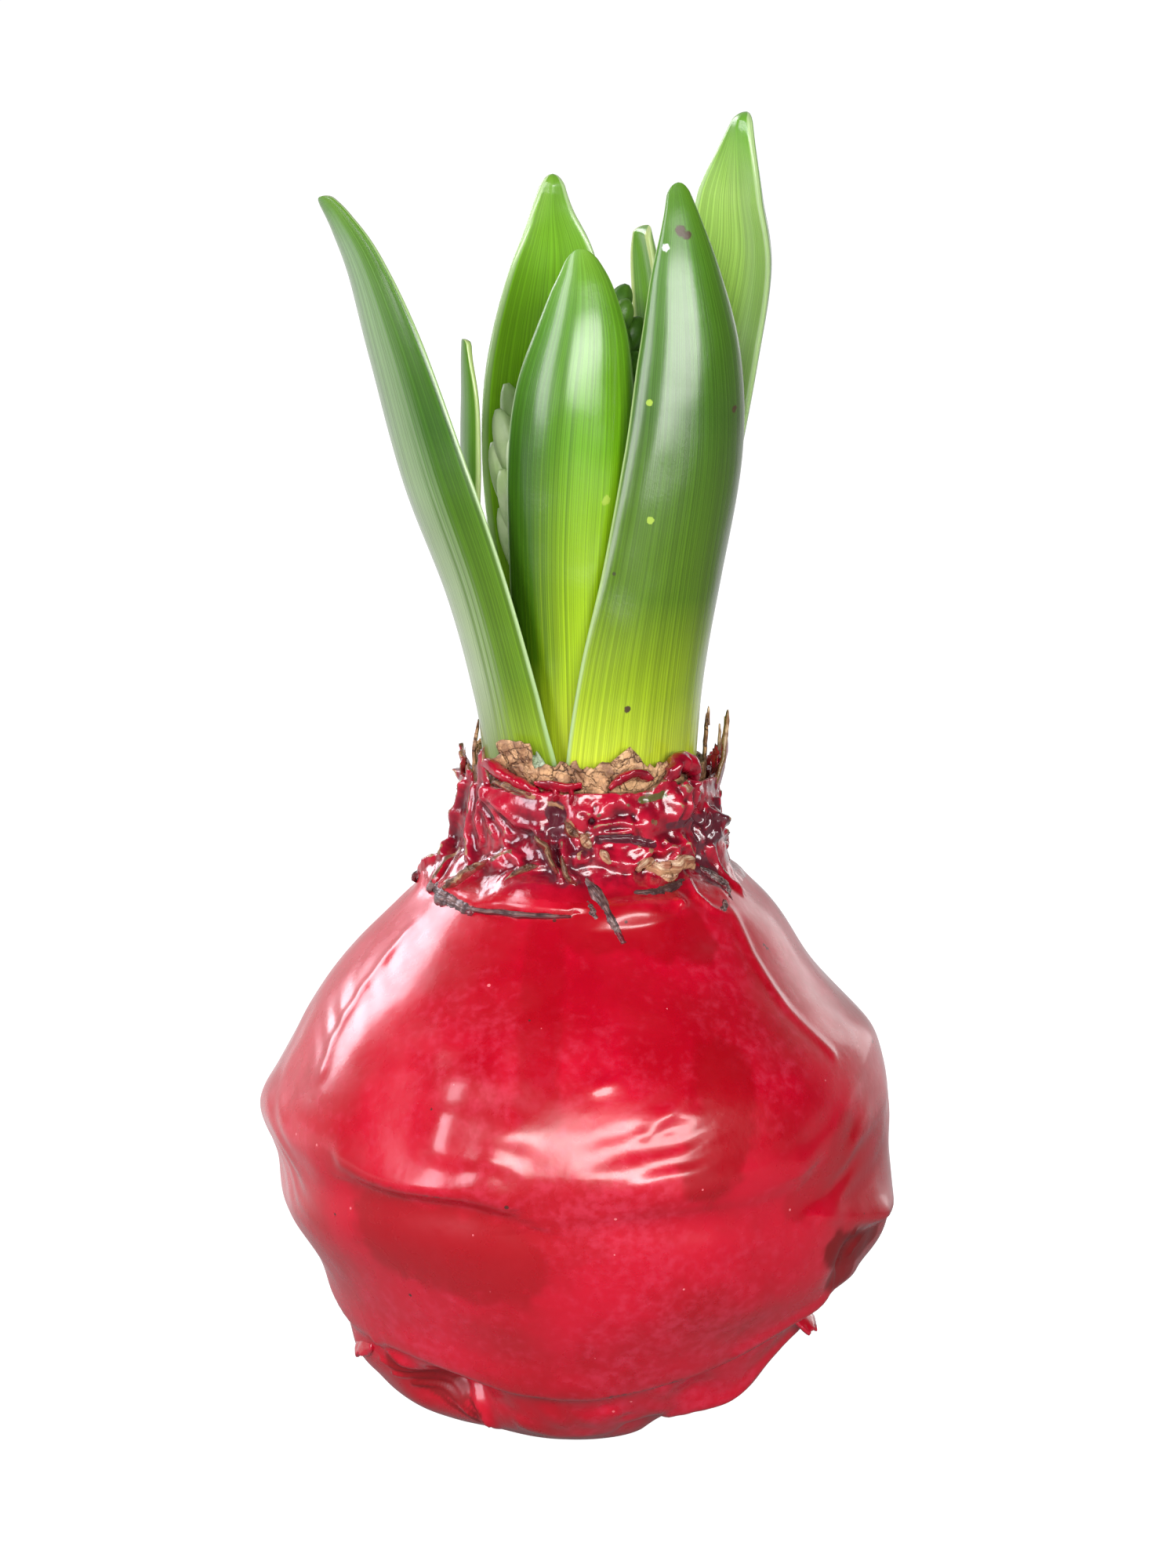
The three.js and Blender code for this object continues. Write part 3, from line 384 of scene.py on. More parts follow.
# Meshes

def mesh_object(name, points, faces, materials, uv=None, slots=None):
    mesh = bpy.data.meshes.new(name)
    mesh.from_pydata((np.asarray(points) * MM).tolist(), [], [tuple(face) for face in faces])
    for material in materials:
        mesh.materials.append(material)
    if slots is not None:
        mesh.polygons.foreach_set("material_index", np.asarray(slots, dtype=np.int32))
    if uv is not None:
        layer = mesh.uv_layers.new(name="blade")
        loops = np.zeros(len(mesh.loops), dtype=np.int32)
        mesh.loops.foreach_get("vertex_index", loops)
        layer.data.foreach_set("uv", np.asarray(uv, dtype=np.float32)[loops].ravel())
    return link_smooth(name, mesh)


def link_smooth(name, mesh):
    mesh.polygons.foreach_set("use_smooth", np.ones(len(mesh.polygons), dtype=bool))
    mesh.update()
    piece = bpy.data.objects.new(name, mesh)
    bpy.context.scene.collection.objects.link(piece)
    return piece


# Quads of a grid of rows and columns. A round grid joins its last column to its first.
def grid_faces(rows, columns, round_grid):
    steps = columns if round_grid else columns - 1
    row, column = np.meshgrid(np.arange(rows - 1), np.arange(steps), indexing="ij")
    here = row * columns + column
    beside = row * columns + (column + 1) % columns
    return np.stack([here, beside, beside + columns, here + columns], axis=-1).reshape(-1, 4)


def fan(centre, ring, upward):
    following = np.roll(ring, -1)
    middle = np.full(len(ring), centre)
    edges = (ring, following) if upward else (following, ring)
    return np.stack([middle, *edges], axis=-1).tolist()


# Joins parts, each a set of points and the faces between them, to one set of each
def join_parts(parts):
    points = []
    faces = []
    start = 0
    for more, corners in parts:
        points.append(more)
        faces += [tuple(start + corner for corner in face) for face in corners]
        start += len(more)
    return np.concatenate(points), faces


# A colour attribute of a mesh
def write_colours(mesh, name, colours):
    colours[:, 3] = 1.0
    layer = mesh.color_attributes.new(name, "FLOAT_COLOR", "POINT")
    layer.data.foreach_set("color", colours.astype(np.float32).ravel())


# Wax skin

def blend_round(stations, bearings):
    angle = np.radians(bearings)[None, :, None]
    front, right, back, left = (np.asarray(stations)[:, side, None, :] for side in range(4))
    return ((front + right + back + left) / 4 + (front - back) / 2 * np.cos(angle)
            + (right - left) / 2 * np.sin(angle) + (front + back - right - left) / 4 * np.cos(2 * angle))


# Rise of lumps or dents. The power sets how steep their sides are.
def lump_rise(lumps, bearing, radius, height, power=2):
    rise = np.zeros_like(radius)
    for middle, level, spread, up, high in lumps.values():
        sideways = np.radians(turn_between(bearing, middle)) * radius / spread
        upward = (height - level) / up
        rise += high * np.exp(-sideways ** power - upward ** power)
    return rise


# Distance from a line of bearing and height points, over the skin. It is positive on the line's left,
# which is above a line that runs to the right.
def line_distance(line, bearing, radius, height):
    nearest = np.full_like(radius, FAR_AWAY)
    for (from_bearing, from_height), (to_bearing, to_height) in zip(line, line[1:]):
        across = np.radians(turn_between(bearing, from_bearing)) * radius
        upward = height - from_height
        run = np.radians(to_bearing - from_bearing) * radius
        rise = to_height - from_height
        share = np.clip((across * run + upward * rise) / (run * run + rise * rise), 0.0, 1.0)
        distance = np.hypot(across - share * run, upward - share * rise)
        side = np.where(run * upward - rise * across < 0, -1.0, 1.0)
        nearest = np.where(distance < np.abs(nearest), distance * side, nearest)
    return nearest


def fold_rise(folds, bearing, radius, height):
    rise = np.zeros_like(radius)
    for line, above, below, high in folds:
        distance = line_distance(line, bearing, radius, height)
        distance = np.where(distance > 0, distance / above, distance / below)
        rise += high * np.exp(-distance * distance)
    return rise


def ripple_rise(flat, bearing, radius, height):
    rise = np.zeros_like(radius)
    drift = RIPPLE_DRIFT * rumple(flat, RIPPLE_DRIFT_SIZE, 40)
    for middle, level, spread, up, wave, slant, high in WAX_RIPPLES.values():
        across = np.radians(turn_between(bearing, middle)) * radius
        upward = height - level
        near = np.exp(-(across / spread) ** 2 - (upward / up) ** 2)
        rise += high * near * np.sin(2 * math.pi * (upward + slant * across) / wave + drift)
    return rise


def wax_rise(bearing, radius, height):
    rise = lump_rise(WAX_LUMPS, bearing, radius, height)
    angle = np.radians(bearing)
    uneven = UNEVEN_RISE * (1.0 - smoothstep(height, *EVEN_NECK))
    first, second = UNEVEN_TURNS
    rise += uneven * np.sin(3 * angle + height / first) * np.sin(height / second - 2 * angle)
    return rise * smoothstep(height, *LUMPS_START)


# Finer relief of the body's skin
def body_relief(flat, bearing, radius, height):
    where = (bearing, radius, height)
    rise = lump_rise(SMALL_LUMPS, *where) + lump_rise(WAX_DENTS, *where, DENT_POWER)
    rise += fold_rise(WAX_FOLDS.values(), *where) + ripple_rise(flat, *where)
    large, small = SKIN_RUMPLE_SIZES
    uneven = rumple(flat, large, 1) + 0.5 * rumple(flat, small, 2)
    rise += SKIN_RUMPLE * uneven * (1.0 - smoothstep(height, *RUMPLE_ENDS))
    return rise * smoothstep(height, *RELIEF_STARTS)


# Relief of the collar: its large forms and folds, and a crumple that is weak where the wax lies smooth
def collar_relief(flat, bearing, radius, height):
    rise = np.zeros_like(radius)
    high = height > COLLAR_RELIEF_FROM
    where = (bearing[high], radius[high], height[high])
    here = flat[high]
    bend = np.stack([rumple(here, CRUMPLE_BEND_SIZE, seed) for seed in (5, 6, 7)], axis=-1)
    bent = here + CRUMPLE_BEND * bend
    large = CRUMPLE_SHARES[0] * (crinkle(bent, CRUMPLE_SIZES[0], 3) - 0.6)
    small = CRUMPLE_SHARES[1] * (crinkle(bent, CRUMPLE_SIZES[1], 8) - 0.5)
    crumple = large + small
    calm = np.clip(lump_rise(CALM_PLACES, *where), 0.0, 1.0)
    forms = lump_rise(COLLAR_LUMPS, *where) + fold_rise([*COLLAR_FOLDS.values(), *side_folds()], *where)
    crumple = NECK_RUMPLE * crumple * (1.0 - CRUMPLE_CALMED * calm) * smoothstep(where[2], *CRUMPLE_STARTS)
    rise[high] = forms * smoothstep(where[2], *FORMS_START) + crumple
    return rise


# Points of the wax skin. Bearings give the columns and shares of the way up the rows.
def wax_points(bearings, shares, fine=True, sink=None):
    rows = blend_round(WAX_OUTLINE, bearings)
    place = curve_points(rows, shares)
    along = curve_along(rows, shares)
    radius = place[..., 0]
    height = place[..., 1]
    bearing = np.broadcast_to(bearings, radius.shape)
    where = (bearing, radius, height)
    rise = wax_rise(*where)
    out = bearing_direction(bearing)
    flat = out * radius[..., None]
    flat[..., 2] = height
    normal = out * along[..., 1:2]
    normal[..., 2] = -along[..., 0]
    if fine:
        rise = rise + body_relief(flat, *where) + collar_relief(flat, *where)
    if sink is not None:
        rise = rise - sink(height)
    return flat + normal * rise[..., None]


def skin_sink(height):
    low, high, depth = SKIN_DIVES
    return depth * smoothstep(height, low, high)


def collar_sink(height):
    low, high, depth = COLLAR_ROOTS
    return depth * (1.0 - smoothstep(height, low, high))


def wax_point_at(bearing, height):
    shares = np.linspace(0.0, 1.0, SEARCH_ROWS)
    points = wax_points(np.array([float(bearing)]), shares, fine=False)[:, 0]
    return points[np.argmin(np.abs(points[:, 2] - height))]


# A ring about the neck's middle
def neck_ring(bearings, radius, height):
    ring = np.array([NECK_X, 0.0, 0.0]) + bearing_direction(bearings) * radius
    ring[:, 2] = height
    return ring


def make_wax_coat(material):
    bearings = ring_bearings(WAX_SIDES)
    body_shares = np.linspace(0.0, NECK_ROWS_FROM, BODY_ROWS, endpoint=False)
    neck_shares = np.linspace(NECK_ROWS_FROM, SKIN_ENDS_AT, NECK_ROWS)
    points = wax_points(bearings, np.concatenate([body_shares, neck_shares]), sink=skin_sink)
    inner = neck_ring(bearings, COLLAR_INNER_RADIUS, points[-1, :, 2])
    grid = np.concatenate([*points, inner, np.zeros((1, 3))])
    faces = grid_faces(len(points) + 1, WAX_SIDES, True).tolist()
    faces += fan(len(grid) - 1, np.arange(WAX_SIDES), upward=False)
    skin = mesh_object("wax_skin", grid, faces, [material])
    stain_and_shade_piece(skin.data, grid, WAX_STAINS_AND_SHADE)
    mark_relief(skin.data, grid)
    return skin


# Marks where the wax is stained and where shade is painted on it: a colour attribute whose channels are named
# in STAIN_CHANNELS
def stain_and_shade_piece(mesh, places, stains, marks=None):
    if marks is None:
        marks = np.zeros((len(places), 4))
    where = place_round(places)
    ragged = STAIN_RAGGED * rumple(places, STAIN_RAGGED_SIZE, 60)
    for line, wide, strength, channel in stains.values():
        distance = np.abs(line_distance(line, *where)) / wide + ragged
        column = STAIN_CHANNELS.index(channel)
        share = strength * (1.0 - smoothstep(distance, *STAIN_FADE))
        marks[:, column] = np.maximum(marks[:, column], share)
    write_colours(mesh, "marks", marks)


# How hollow or proud each point of a wax piece lies against the points round it, as a colour attribute:
# red in a crevice, green on a crest
def mark_relief(mesh, places):
    mesh.update()
    normals = np.zeros(len(places) * 3)
    mesh.vertices.foreach_get("normal", normals)
    edges = np.zeros(len(mesh.edges) * 2, dtype=np.int32)
    mesh.edges.foreach_get("vertices", edges)
    first, second = edges.reshape(-1, 2).T
    count = np.bincount(first, minlength=len(places)) + np.bincount(second, minlength=len(places))
    smooth = np.array(places, float)
    for _ in range(RELIEF_ROUNDS):
        total = np.stack([
            np.bincount(first, smooth[second, axis], len(places))
            + np.bincount(second, smooth[first, axis], len(places)) for axis in range(3)], axis=-1)
        smooth = total / np.maximum(count, 1)[:, None]
    hollow = np.sum((smooth - places) * normals.reshape(-1, 3), axis=1) / RELIEF_DEPTH
    relief = np.zeros((len(places), 4))
    relief[:, 0] = np.clip(hollow, 0.0, 1.0)
    relief[:, 1] = np.clip(-hollow, 0.0, 1.0)
    write_colours(mesh, "relief", relief)


RELIEF_ROUNDS = 10
RELIEF_DEPTH = 0.16

# Stains and painted shade of the body's skin: a line of bearing and height points, half width, strength and
# channel. The dark and patch channels hold painted shade; the dry channel holds dirt, a scar and a darker
# line along the left crease
STAIN_CHANNELS = ["dry", "dark", "patch"]
STAIN_RAGGED = 0.22
STAIN_RAGGED_SIZE = 1.1
STAIN_FADE = (0.75, 1.15)
WAX_STAINS_AND_SHADE = {
    # Painted shade in the hollow, at its foot, in the pocket and along the pocket's grooves
    "hollow": ([(56, 24.6), (64, 23.4), (72, 22.6), (82, 22.6)], 2.5, 1.0, "dark"),
    "hollow's foot": ([(60, 20.8), (68, 20.0), (74, 20.4)], 1.8, 0.9, "dark"),
    "pocket": ([(-57, 9.8), (-52, 8.0), (-46, 6.6)], 1.5, 0.8, "dark"),
    "first pocket streak": ([(-58, 7.4), (-50, 5.2), (-42, 3.4)], 0.40, 0.9, "dark"),
    "second pocket streak": ([(-52, 7.8), (-44, 5.2), (-38, 3.6)], 0.35, 0.9, "dark"),
    "third pocket streak": ([(-48, 8.4), (-41, 5.8), (-37, 4.4)], 0.30, 0.9, "dark"),
    "left crease": ([(-34, 34.0), (-28, 33.6), (-22, 33.6)], 0.22, 0.6, "dry"),
    "ridge dirt one": ([(-20, 9.6), (-14, 9.0), (-8, 8.8)], 0.20, 0.7, "dry"),
    "ridge dirt two": ([(4, 8.9), (12, 9.4), (20, 10.0), (27, 10.9)], 0.24, 0.7, "dry"),
    "ridge dirt three": ([(30, 12.4), (36, 12.9), (42, 13.7)], 0.30, 0.5, "dry"),
    "shoulder dirt": ([(80, 45.0), (86, 46.6)], 0.5, 0.6, "dry"),
    "right shoulder scar": ([(62, 57.0), (63, 56.4)], 0.35, 1.0, "dry"),
    # Painted shade: deeper red where the wax mirrors only the dim room, and under the collar
    "painted shade low on the left": ([(-37, 28.8), (-25, 27.0), (-14, 26.2)], 5.4, 0.90, "patch"),
    "painted shade right of the middle": ([(29, 46.0), (28, 41.0), (24, 36.5)], 3.8, 0.85, "patch"),
    "painted shade left of the middle": ([(-9, 60.0), (-8, 51.0), (-7, 42.0)], 2.4, 0.60, "patch"),
    "painted shade under the collar": ([(0, 61.0), (18, 60.6), (36, 59.0)], 2.8, 0.75, "patch"),
    "painted shade at the right": ([(58, 38.0), (52, 33.6), (44, 31.0)], 2.2, 0.50, "patch"),
}


# Crumpled flakes

COLLAR_SIDES = 460
COLLAR_WALL_ROWS = 110
COLLAR_FROM = 0.80
COLLAR_RELIEF_FROM = 59.0
COLLAR_INNER_RADIUS = 13.4
COLLAR_RIM_DROP = 0.2
DIP_VOXEL = 0.236
DIP_SOFTENING = 1
# Wrinkles of the dipped collar: their sizes and rises, and how much of them is lost where it lies smooth
WRINKLE_SIZES = (1.1, 0.5)
WRINKLE_RISES = (0.12, 0.05)
WRINKLE_CALMED = 0.9
MARK_REACH = 0.7
FLAKE_ACROSS = 13
FLAKE_ALONG = 11
# How far a flake's sides and tip are torn, how much it cups, how flat its root lies and how thin its rim is
FLAKE_TORN_SIDE = 0.24
FLAKE_TORN_TIP = 0.34
FLAKE_CUP = 0.08
FLAKE_ROOT_CRUMPLE = 0.35
FLAKE_RIM_THINS = 0.75
RED_FLAKE = 0
DARK_FLAKE = 1
BROWN_FLAKE = 2
SEED_STEP = 5

# Large forms of the collar: bearing, height, spread round, spread up, rise
COLLAR_LUMPS = {
    "smooth pocket": (-29, 73.1, 3.4, 1.3, 0.85),
    "pocket's right end": (-15, 72.4, 2.0, 1.1, 0.55),
    "under the pocket": (-25, 69.6, 3.0, 0.9, -0.55),
    "gloss": (-57, 70.4, 1.8, 4.0, 0.55),
    "left side fold": (-78, 69.4, 1.6, 3.4, 0.75),
    "left flap": (-61, 65.3, 2.3, 1.3, 0.70),
    "second flap": (-35, 66.2, 1.9, 1.1, 0.75),
    "swirl": (-41, 69.3, 1.4, 1.0, 0.45),
    "dark hole": (-8.6, 72.2, 0.9, 1.1, -1.5),
    "star-crease plate": (5, 72.0, 3.0, 1.2, 0.75),
    "star": (6.3, 71.5, 0.45, 0.45, -0.8),
    "first bubble": (14.8, 73.4, 0.7, 0.6, 0.55),
    "second bubble": (20.3, 73.3, 0.7, 0.6, 0.55),
    "blister": (29.5, 71.2, 1.5, 1.3, 1.05),
    "crumpled lump": (49, 73.0, 2.1, 1.9, 1.30),
    "lump's shoulder": (43, 71.8, 1.2, 1.6, 0.60),
    "purple lump": (69, 70.0, 1.7, 1.4, 1.50),
    "lower purple lump": (60, 68.2, 1.4, 1.3, 0.90),
    "upper plate": (26, 68.5, 2.6, 0.9, 0.60),
    "lower plate": (16, 67.6, 2.0, 0.9, 0.55),
    "crumpled end": (44, 67.5, 2.6, 1.3, 1.05),
    "centre lobe": (-3.5, 67.8, 1.3, 0.9, 0.85),
    "upper lobe": (-15, 69.5, 1.5, 0.7, 0.70),
    "left bulge": (-17, 64.2, 4.2, 1.4, 0.75),
    "right bulge": (20, 62.2, 3.4, 1.1, 0.55),
    "right plate": (72, 65.8, 2.4, 2.0, 0.50),
    "drop": (36.2, 62.2, 0.5, 0.5, 0.40),
}
# Places where the collar's wax lies smooth: bearing, height, spread round, spread up, share
CALM_PLACES = {
    "pocket": (-27, 73.0, 5.0, 1.8, 1.0),
    "left bulge": (-17, 63.8, 6.0, 2.0, 1.0),
    "right bulge": (20, 62.0, 6.0, 2.0, 1.0),
    "blister": (30, 71.2, 2.0, 1.6, 0.9),
    "gloss": (-57, 70.4, 2.4, 4.0, 0.5),
    "right plate": (72, 65.0, 3.0, 2.4, 0.9),
    "star-crease plate": (4, 72.2, 2.6, 1.2, 0.7),
    "left flap": (-60, 64.6, 3.0, 1.6, 0.8),
}
# Folds of the collar: a line of bearing and height points, its width above and below, and its rise
COLLAR_FOLDS = {
    "pocket's lip": ([(-49, 74.3), (-42, 75.3), (-34, 75.0), (-26, 74.6), (-17, 74.4)], 0.35, 0.5, 0.60),
    "pocket's lower edge": (
        [(-50, 73.4), (-42, 73.0), (-35, 72.0), (-29, 70.9), (-21, 70.5), (-12, 70.7)], 0.9, 0.28, 0.60),
    "first wrinkle": ([(-48, 73.0), (-41, 71.8), (-36, 70.4), (-31, 69.3)], 0.32, 0.32, 0.40),
    "second wrinkle": ([(-50, 72.2), (-45, 70.8), (-40, 69.2)], 0.32, 0.32, 0.38),
    "gloss ridge": ([(-59, 74.6), (-58, 71.6), (-59, 68.6), (-55, 66.4)], 0.40, 0.40, 0.65),
    "second gloss ridge": ([(-51, 72.8), (-52, 70.5), (-49, 68.4)], 0.34, 0.34, 0.50),
    "left side ridge": ([(-70, 74.0), (-75, 71.0), (-80, 67.6), (-76, 65.2)], 0.5, 0.5, 0.90),
    "left flap's edge": ([(-86, 66.8), (-77, 66.2), (-71, 65.0), (-69, 63.4)], 0.4, 0.9, 0.75),
    "diagonal flap": ([(-56, 63.4), (-50, 64.4), (-46, 65.6), (-39, 66.7)], 0.35, 1.1, 0.70),
    "second flap's edge": ([(-36, 66.8), (-33, 67.6), (-29, 67.8), (-25, 67.2)], 0.3, 0.9, 0.60),
    "third flap's edge": ([(-28, 65.0), (-21, 66.2), (-15, 66.7)], 0.3, 0.8, 0.50),
    "first centre fold": ([(-17, 70.2), (-14, 69.0), (-11, 67.6), (-7, 66.0), (-6, 65.0)], 0.36, 0.36, 0.90),
    "second centre fold": ([(-6, 69.2), (-5.4, 67.4), (-4, 65.8), (-0.5, 65.2)], 0.36, 0.36, 0.80),
    "third centre fold": ([(0, 69.6), (1.5, 68.0), (-0.5, 66.8)], 0.34, 0.34, 0.60),
    "valley between them": ([(-9.5, 69.8), (-8.5, 68.0), (-6.4, 66.8)], 0.4, 0.4, -0.70),
    "star ray up": ([(6.3, 71.5), (7.6, 73.1)], 0.22, 0.22, -0.50),
    "star ray left": ([(6.3, 71.5), (2.2, 72.2)], 0.22, 0.22, -0.50),
    "star ray down": ([(6.3, 71.5), (4.2, 70.2)], 0.22, 0.22, -0.50),
    "star ray right": ([(6.3, 71.5), (10.8, 71.9)], 0.22, 0.22, -0.45),
    "first gloss line": ([(7.5, 71.0), (12, 71.2), (18, 71.4), (25, 71.0)], 0.30, 0.45, 0.55),
    "second gloss line": ([(9, 70.2), (15, 70.2), (23, 70.3)], 0.28, 0.34, 0.45),
    "dark strip's groove": ([(9, 69.6), (15, 69.7), (22, 69.6), (31, 68.8)], 0.30, 0.30, -0.70),
    "plate's lower rim": ([(11, 67.2), (18, 66.6), (24, 66.6), (29, 67.4)], 0.8, 0.3, 0.55),
    "blister's edge": ([(24, 72.0), (24.6, 70.4), (27, 69.6)], 0.3, 0.3, -0.45),
    "lump's first crease": ([(44, 74.6), (47, 72.8), (45, 70.8)], 0.28, 0.28, -0.70),
    "lump's second crease": ([(53, 75.0), (51, 73.2), (55, 71.2)], 0.28, 0.28, -0.75),
    "lump's crest": ([(46, 74.4), (50, 74.8), (54, 74.0)], 0.4, 0.4, 0.60),
    "crumpled end's first fold": ([(37, 69.0), (41, 67.8), (39, 66.4)], 0.3, 0.3, 0.65),
    "crumpled end's second fold": ([(45, 69.2), (48, 67.6), (52, 66.2)], 0.3, 0.3, 0.70),
    "crumpled end's third fold": ([(34, 67.8), (40, 68.3), (46, 68.4)], 0.3, 0.3, 0.50),
    "first purple crease": ([(57, 71.0), (62, 69.2), (59, 67.2)], 0.34, 0.34, -0.90),
    "second purple crease": ([(55, 69.8), (56.5, 68.2), (55.5, 66.4)], 0.34, 0.34, -0.80),
    "purple crest": ([(65, 71.6), (70, 70.2), (76, 69.4)], 0.45, 0.45, 0.80),
    "right plate's edge": ([(61, 67.4), (64, 66.0), (66, 64.2), (70, 62.4)], 0.3, 0.5, 0.60),
    "right thin ridge": (
        [(45, 64.4), (44, 63.0), (47.6, 61.3), (52.8, 60.5), (56.3, 59.0), (55, 57.2), (53, 55.0)],
        0.3, 0.3, 0.40),
    "lap over the tail": (
        [(-60, 62.6), (-48, 62.4), (-37, 61.8), (-26, 62.1), (-17.7, 61.9), (-2, 62.0)], 1.6, 0.2, 0.60),
    "lap under the bulge": ([(8, 60.6), (14, 60.9), (22, 61.0), (34, 61.6)], 1.4, 0.3, 0.35),
}
# Folds of the collar's sides and back: how many, where and how they run
SIDE_FOLD_COUNT = 64
SIDE_FOLD_BEARINGS = (84.0, 278.0)
SIDE_FOLD_HEIGHTS = (63.0, 75.5)


def side_folds():
    rng = np.random.default_rng(11)
    folds = []
    for _ in range(SIDE_FOLD_COUNT):
        bearing = rng.uniform(*SIDE_FOLD_BEARINGS)
        height = rng.uniform(*SIDE_FOLD_HEIGHTS)
        slope = rng.uniform(-1.3, 1.3)
        reach = rng.uniform(4.0, 11.0)
        bend = rng.uniform(-1.0, 1.0)
        line = [
            (bearing - reach, height - slope), (bearing, height + bend), (bearing + reach, height + slope)]
        wide = rng.uniform(0.28, 0.6)
        folds.append((line, wide, rng.uniform(0.28, 0.9), rng.choice([-0.6, 0.7, 0.9])))
    return folds


# One flake as a thin shell that grows from its root and curls, with torn edges and a crumpled face
def flake_shell(root, bearing, width, length, lean, curl, thick, tilt, taper, crumple, seed, torn=1.0):
    outward = bearing_direction(bearing)
    sideways = np.cross(outward, UP)
    shares = np.linspace(0.0, 1.0, FLAKE_ALONG)
    angle = np.radians(lean + curl * shares)[:, None]
    straight = UP * np.cos(angle) + outward * np.sin(angle)
    turn = math.radians(tilt)
    ways = straight * math.cos(turn) - sideways * math.sin(turn)
    side = sideways * math.cos(turn) + straight * math.sin(turn)
    face_way = np.cross(side, ways)
    steps = np.concatenate([[[0, 0, 0]], np.cumsum(ways[:-1], axis=0)]) * length / (FLAKE_ALONG - 1)
    across = np.linspace(-1.0, 1.0, FLAKE_ACROSS)
    half = width / 2 * (1 - taper * shares ** 2)
    torn_side = rumple(np.stack([shares * length, np.full_like(shares, seed), shares], -1), 1.1, seed)
    torn_tip = rumple(np.stack([across * width / 2, np.full_like(across, seed), across], -1), 0.9, seed + 1)
    reach = 1.0 + FLAKE_TORN_TIP * torn * torn_tip[None, :] * shares[:, None]
    spread = across[None, :] * (half * (1 + FLAKE_TORN_SIDE * torn * torn_side))[:, None]
    points = root + steps[:, None, :] * reach[..., None] + side[:, None, :] * spread[..., None]
    fold = crinkle(points, 1.9, seed + 2) - 0.5 + 0.5 * rumple(points, 0.8, seed + 3)
    cup = FLAKE_CUP * width * across[None, :] ** 2
    lift = crumple * fold * (FLAKE_ROOT_CRUMPLE + (1 - FLAKE_ROOT_CRUMPLE) * shares[:, None]) - cup
    points = points + face_way[:, None, :] * lift[..., None]
    rim = np.maximum(np.abs(across)[None, :], shares[:, None] ** 2)
    depth = thick * (1.0 - FLAKE_RIM_THINS * rim ** 3)
    return points, points - face_way[:, None, :] * depth[..., None], shares, across


# Points and faces of a shell: its front, its back and the wall between them
def shell_mesh(front, back, shares, across):
    rows, columns = front.shape[:2]
    count = rows * columns
    faces = grid_faces(rows, columns, False)
    order = np.arange(count).reshape(rows, columns)
    edge = np.concatenate([order[0, :], order[1:, -1], order[-1, -2::-1], order[-2:0:-1, 0]])
    following = np.roll(edge, -1)
    wall = np.stack([following, edge, edge + count, following + count], axis=-1)
    faces = np.concatenate([faces, (faces + count)[:, ::-1], wall])
    return np.concatenate([front.reshape(-1, 3), back.reshape(-1, 3)]), faces.tolist()


# One piece of several shells, with each point's place across and along its shell
def shells_piece(name, shells, material):
    points, faces = join_parts([shell_mesh(*shell) for shell in shells])
    uv = []
    for *_, shares, across in shells:
        u, v = np.meshgrid((across + 1) / 2, shares)
        uv += [np.stack([u, v], -1).reshape(-1, 2)] * 2
    return mesh_object(name, points, faces, [material], np.concatenate(uv))


# The same from a table: build makes each shell from its row and a seed
def table_piece(name, build, table, material, seed):
    shells = [build(row, seed + SEED_STEP * index) for index, row in enumerate(table.values())]
    return shells_piece(name, shells, material)


# How near a flake's points lie to its torn edge where it is brown, and where it is dark
def flake_marks(kind, shares, across):
    near_edge = 1.0 - np.minimum(2.4 * (1 - np.abs(across))[None, :], 2.0 * (1 - shares)[:, None])
    brown = np.clip(near_edge, 0, 1) * (kind == BROWN_FLAKE)
    return np.stack([brown, np.full(near_edge.shape, float(kind == DARK_FLAKE))], axis=-1).reshape(-1, 2)


# The collar as the wax left it: the neck's skin and the flakes run together and softened
def make_collar_wax(flakes, material):
    bearings = ring_bearings(COLLAR_SIDES)
    wall = wax_points(bearings, np.linspace(COLLAR_FROM, 1.0, COLLAR_WALL_ROWS), sink=collar_sink)
    inner_top = neck_ring(bearings, COLLAR_INNER_RADIUS, wall[-1, :, 2] - COLLAR_RIM_DROP)
    inner_low = neck_ring(bearings, COLLAR_INNER_RADIUS, wall[0, :, 2])
    grid = np.concatenate([inner_low[None], wall, inner_top[None], inner_low[None]])
    neck = (grid.reshape(-1, 3), grid_faces(len(grid), COLLAR_SIDES, True).tolist())
    points, faces = join_parts([neck, *(shell_mesh(*shell) for _, shell in flakes)])
    rough = mesh_object("collar_cast", points, faces, [material])
    dip = rough.modifiers.new("dip", "REMESH")
    dip.mode = "VOXEL"
    dip.voxel_size = DIP_VOXEL * MM
    soften = rough.modifiers.new("soften", "SMOOTH")
    soften.factor = 0.5
    soften.iterations = DIP_SOFTENING
    mesh = bpy.data.meshes.new_from_object(rough.evaluated_get(bpy.context.evaluated_depsgraph_get()))
    bpy.data.objects.remove(rough)
    mesh.name = "collar_wax"
    flake_points = np.concatenate([shell[0].reshape(-1, 3) for _, shell in flakes])
    mark_collar(mesh, flake_points, np.concatenate([flake_marks(kind, *shell[2:]) for kind, shell in flakes]))
    return link_smooth("collar_wax", mesh)
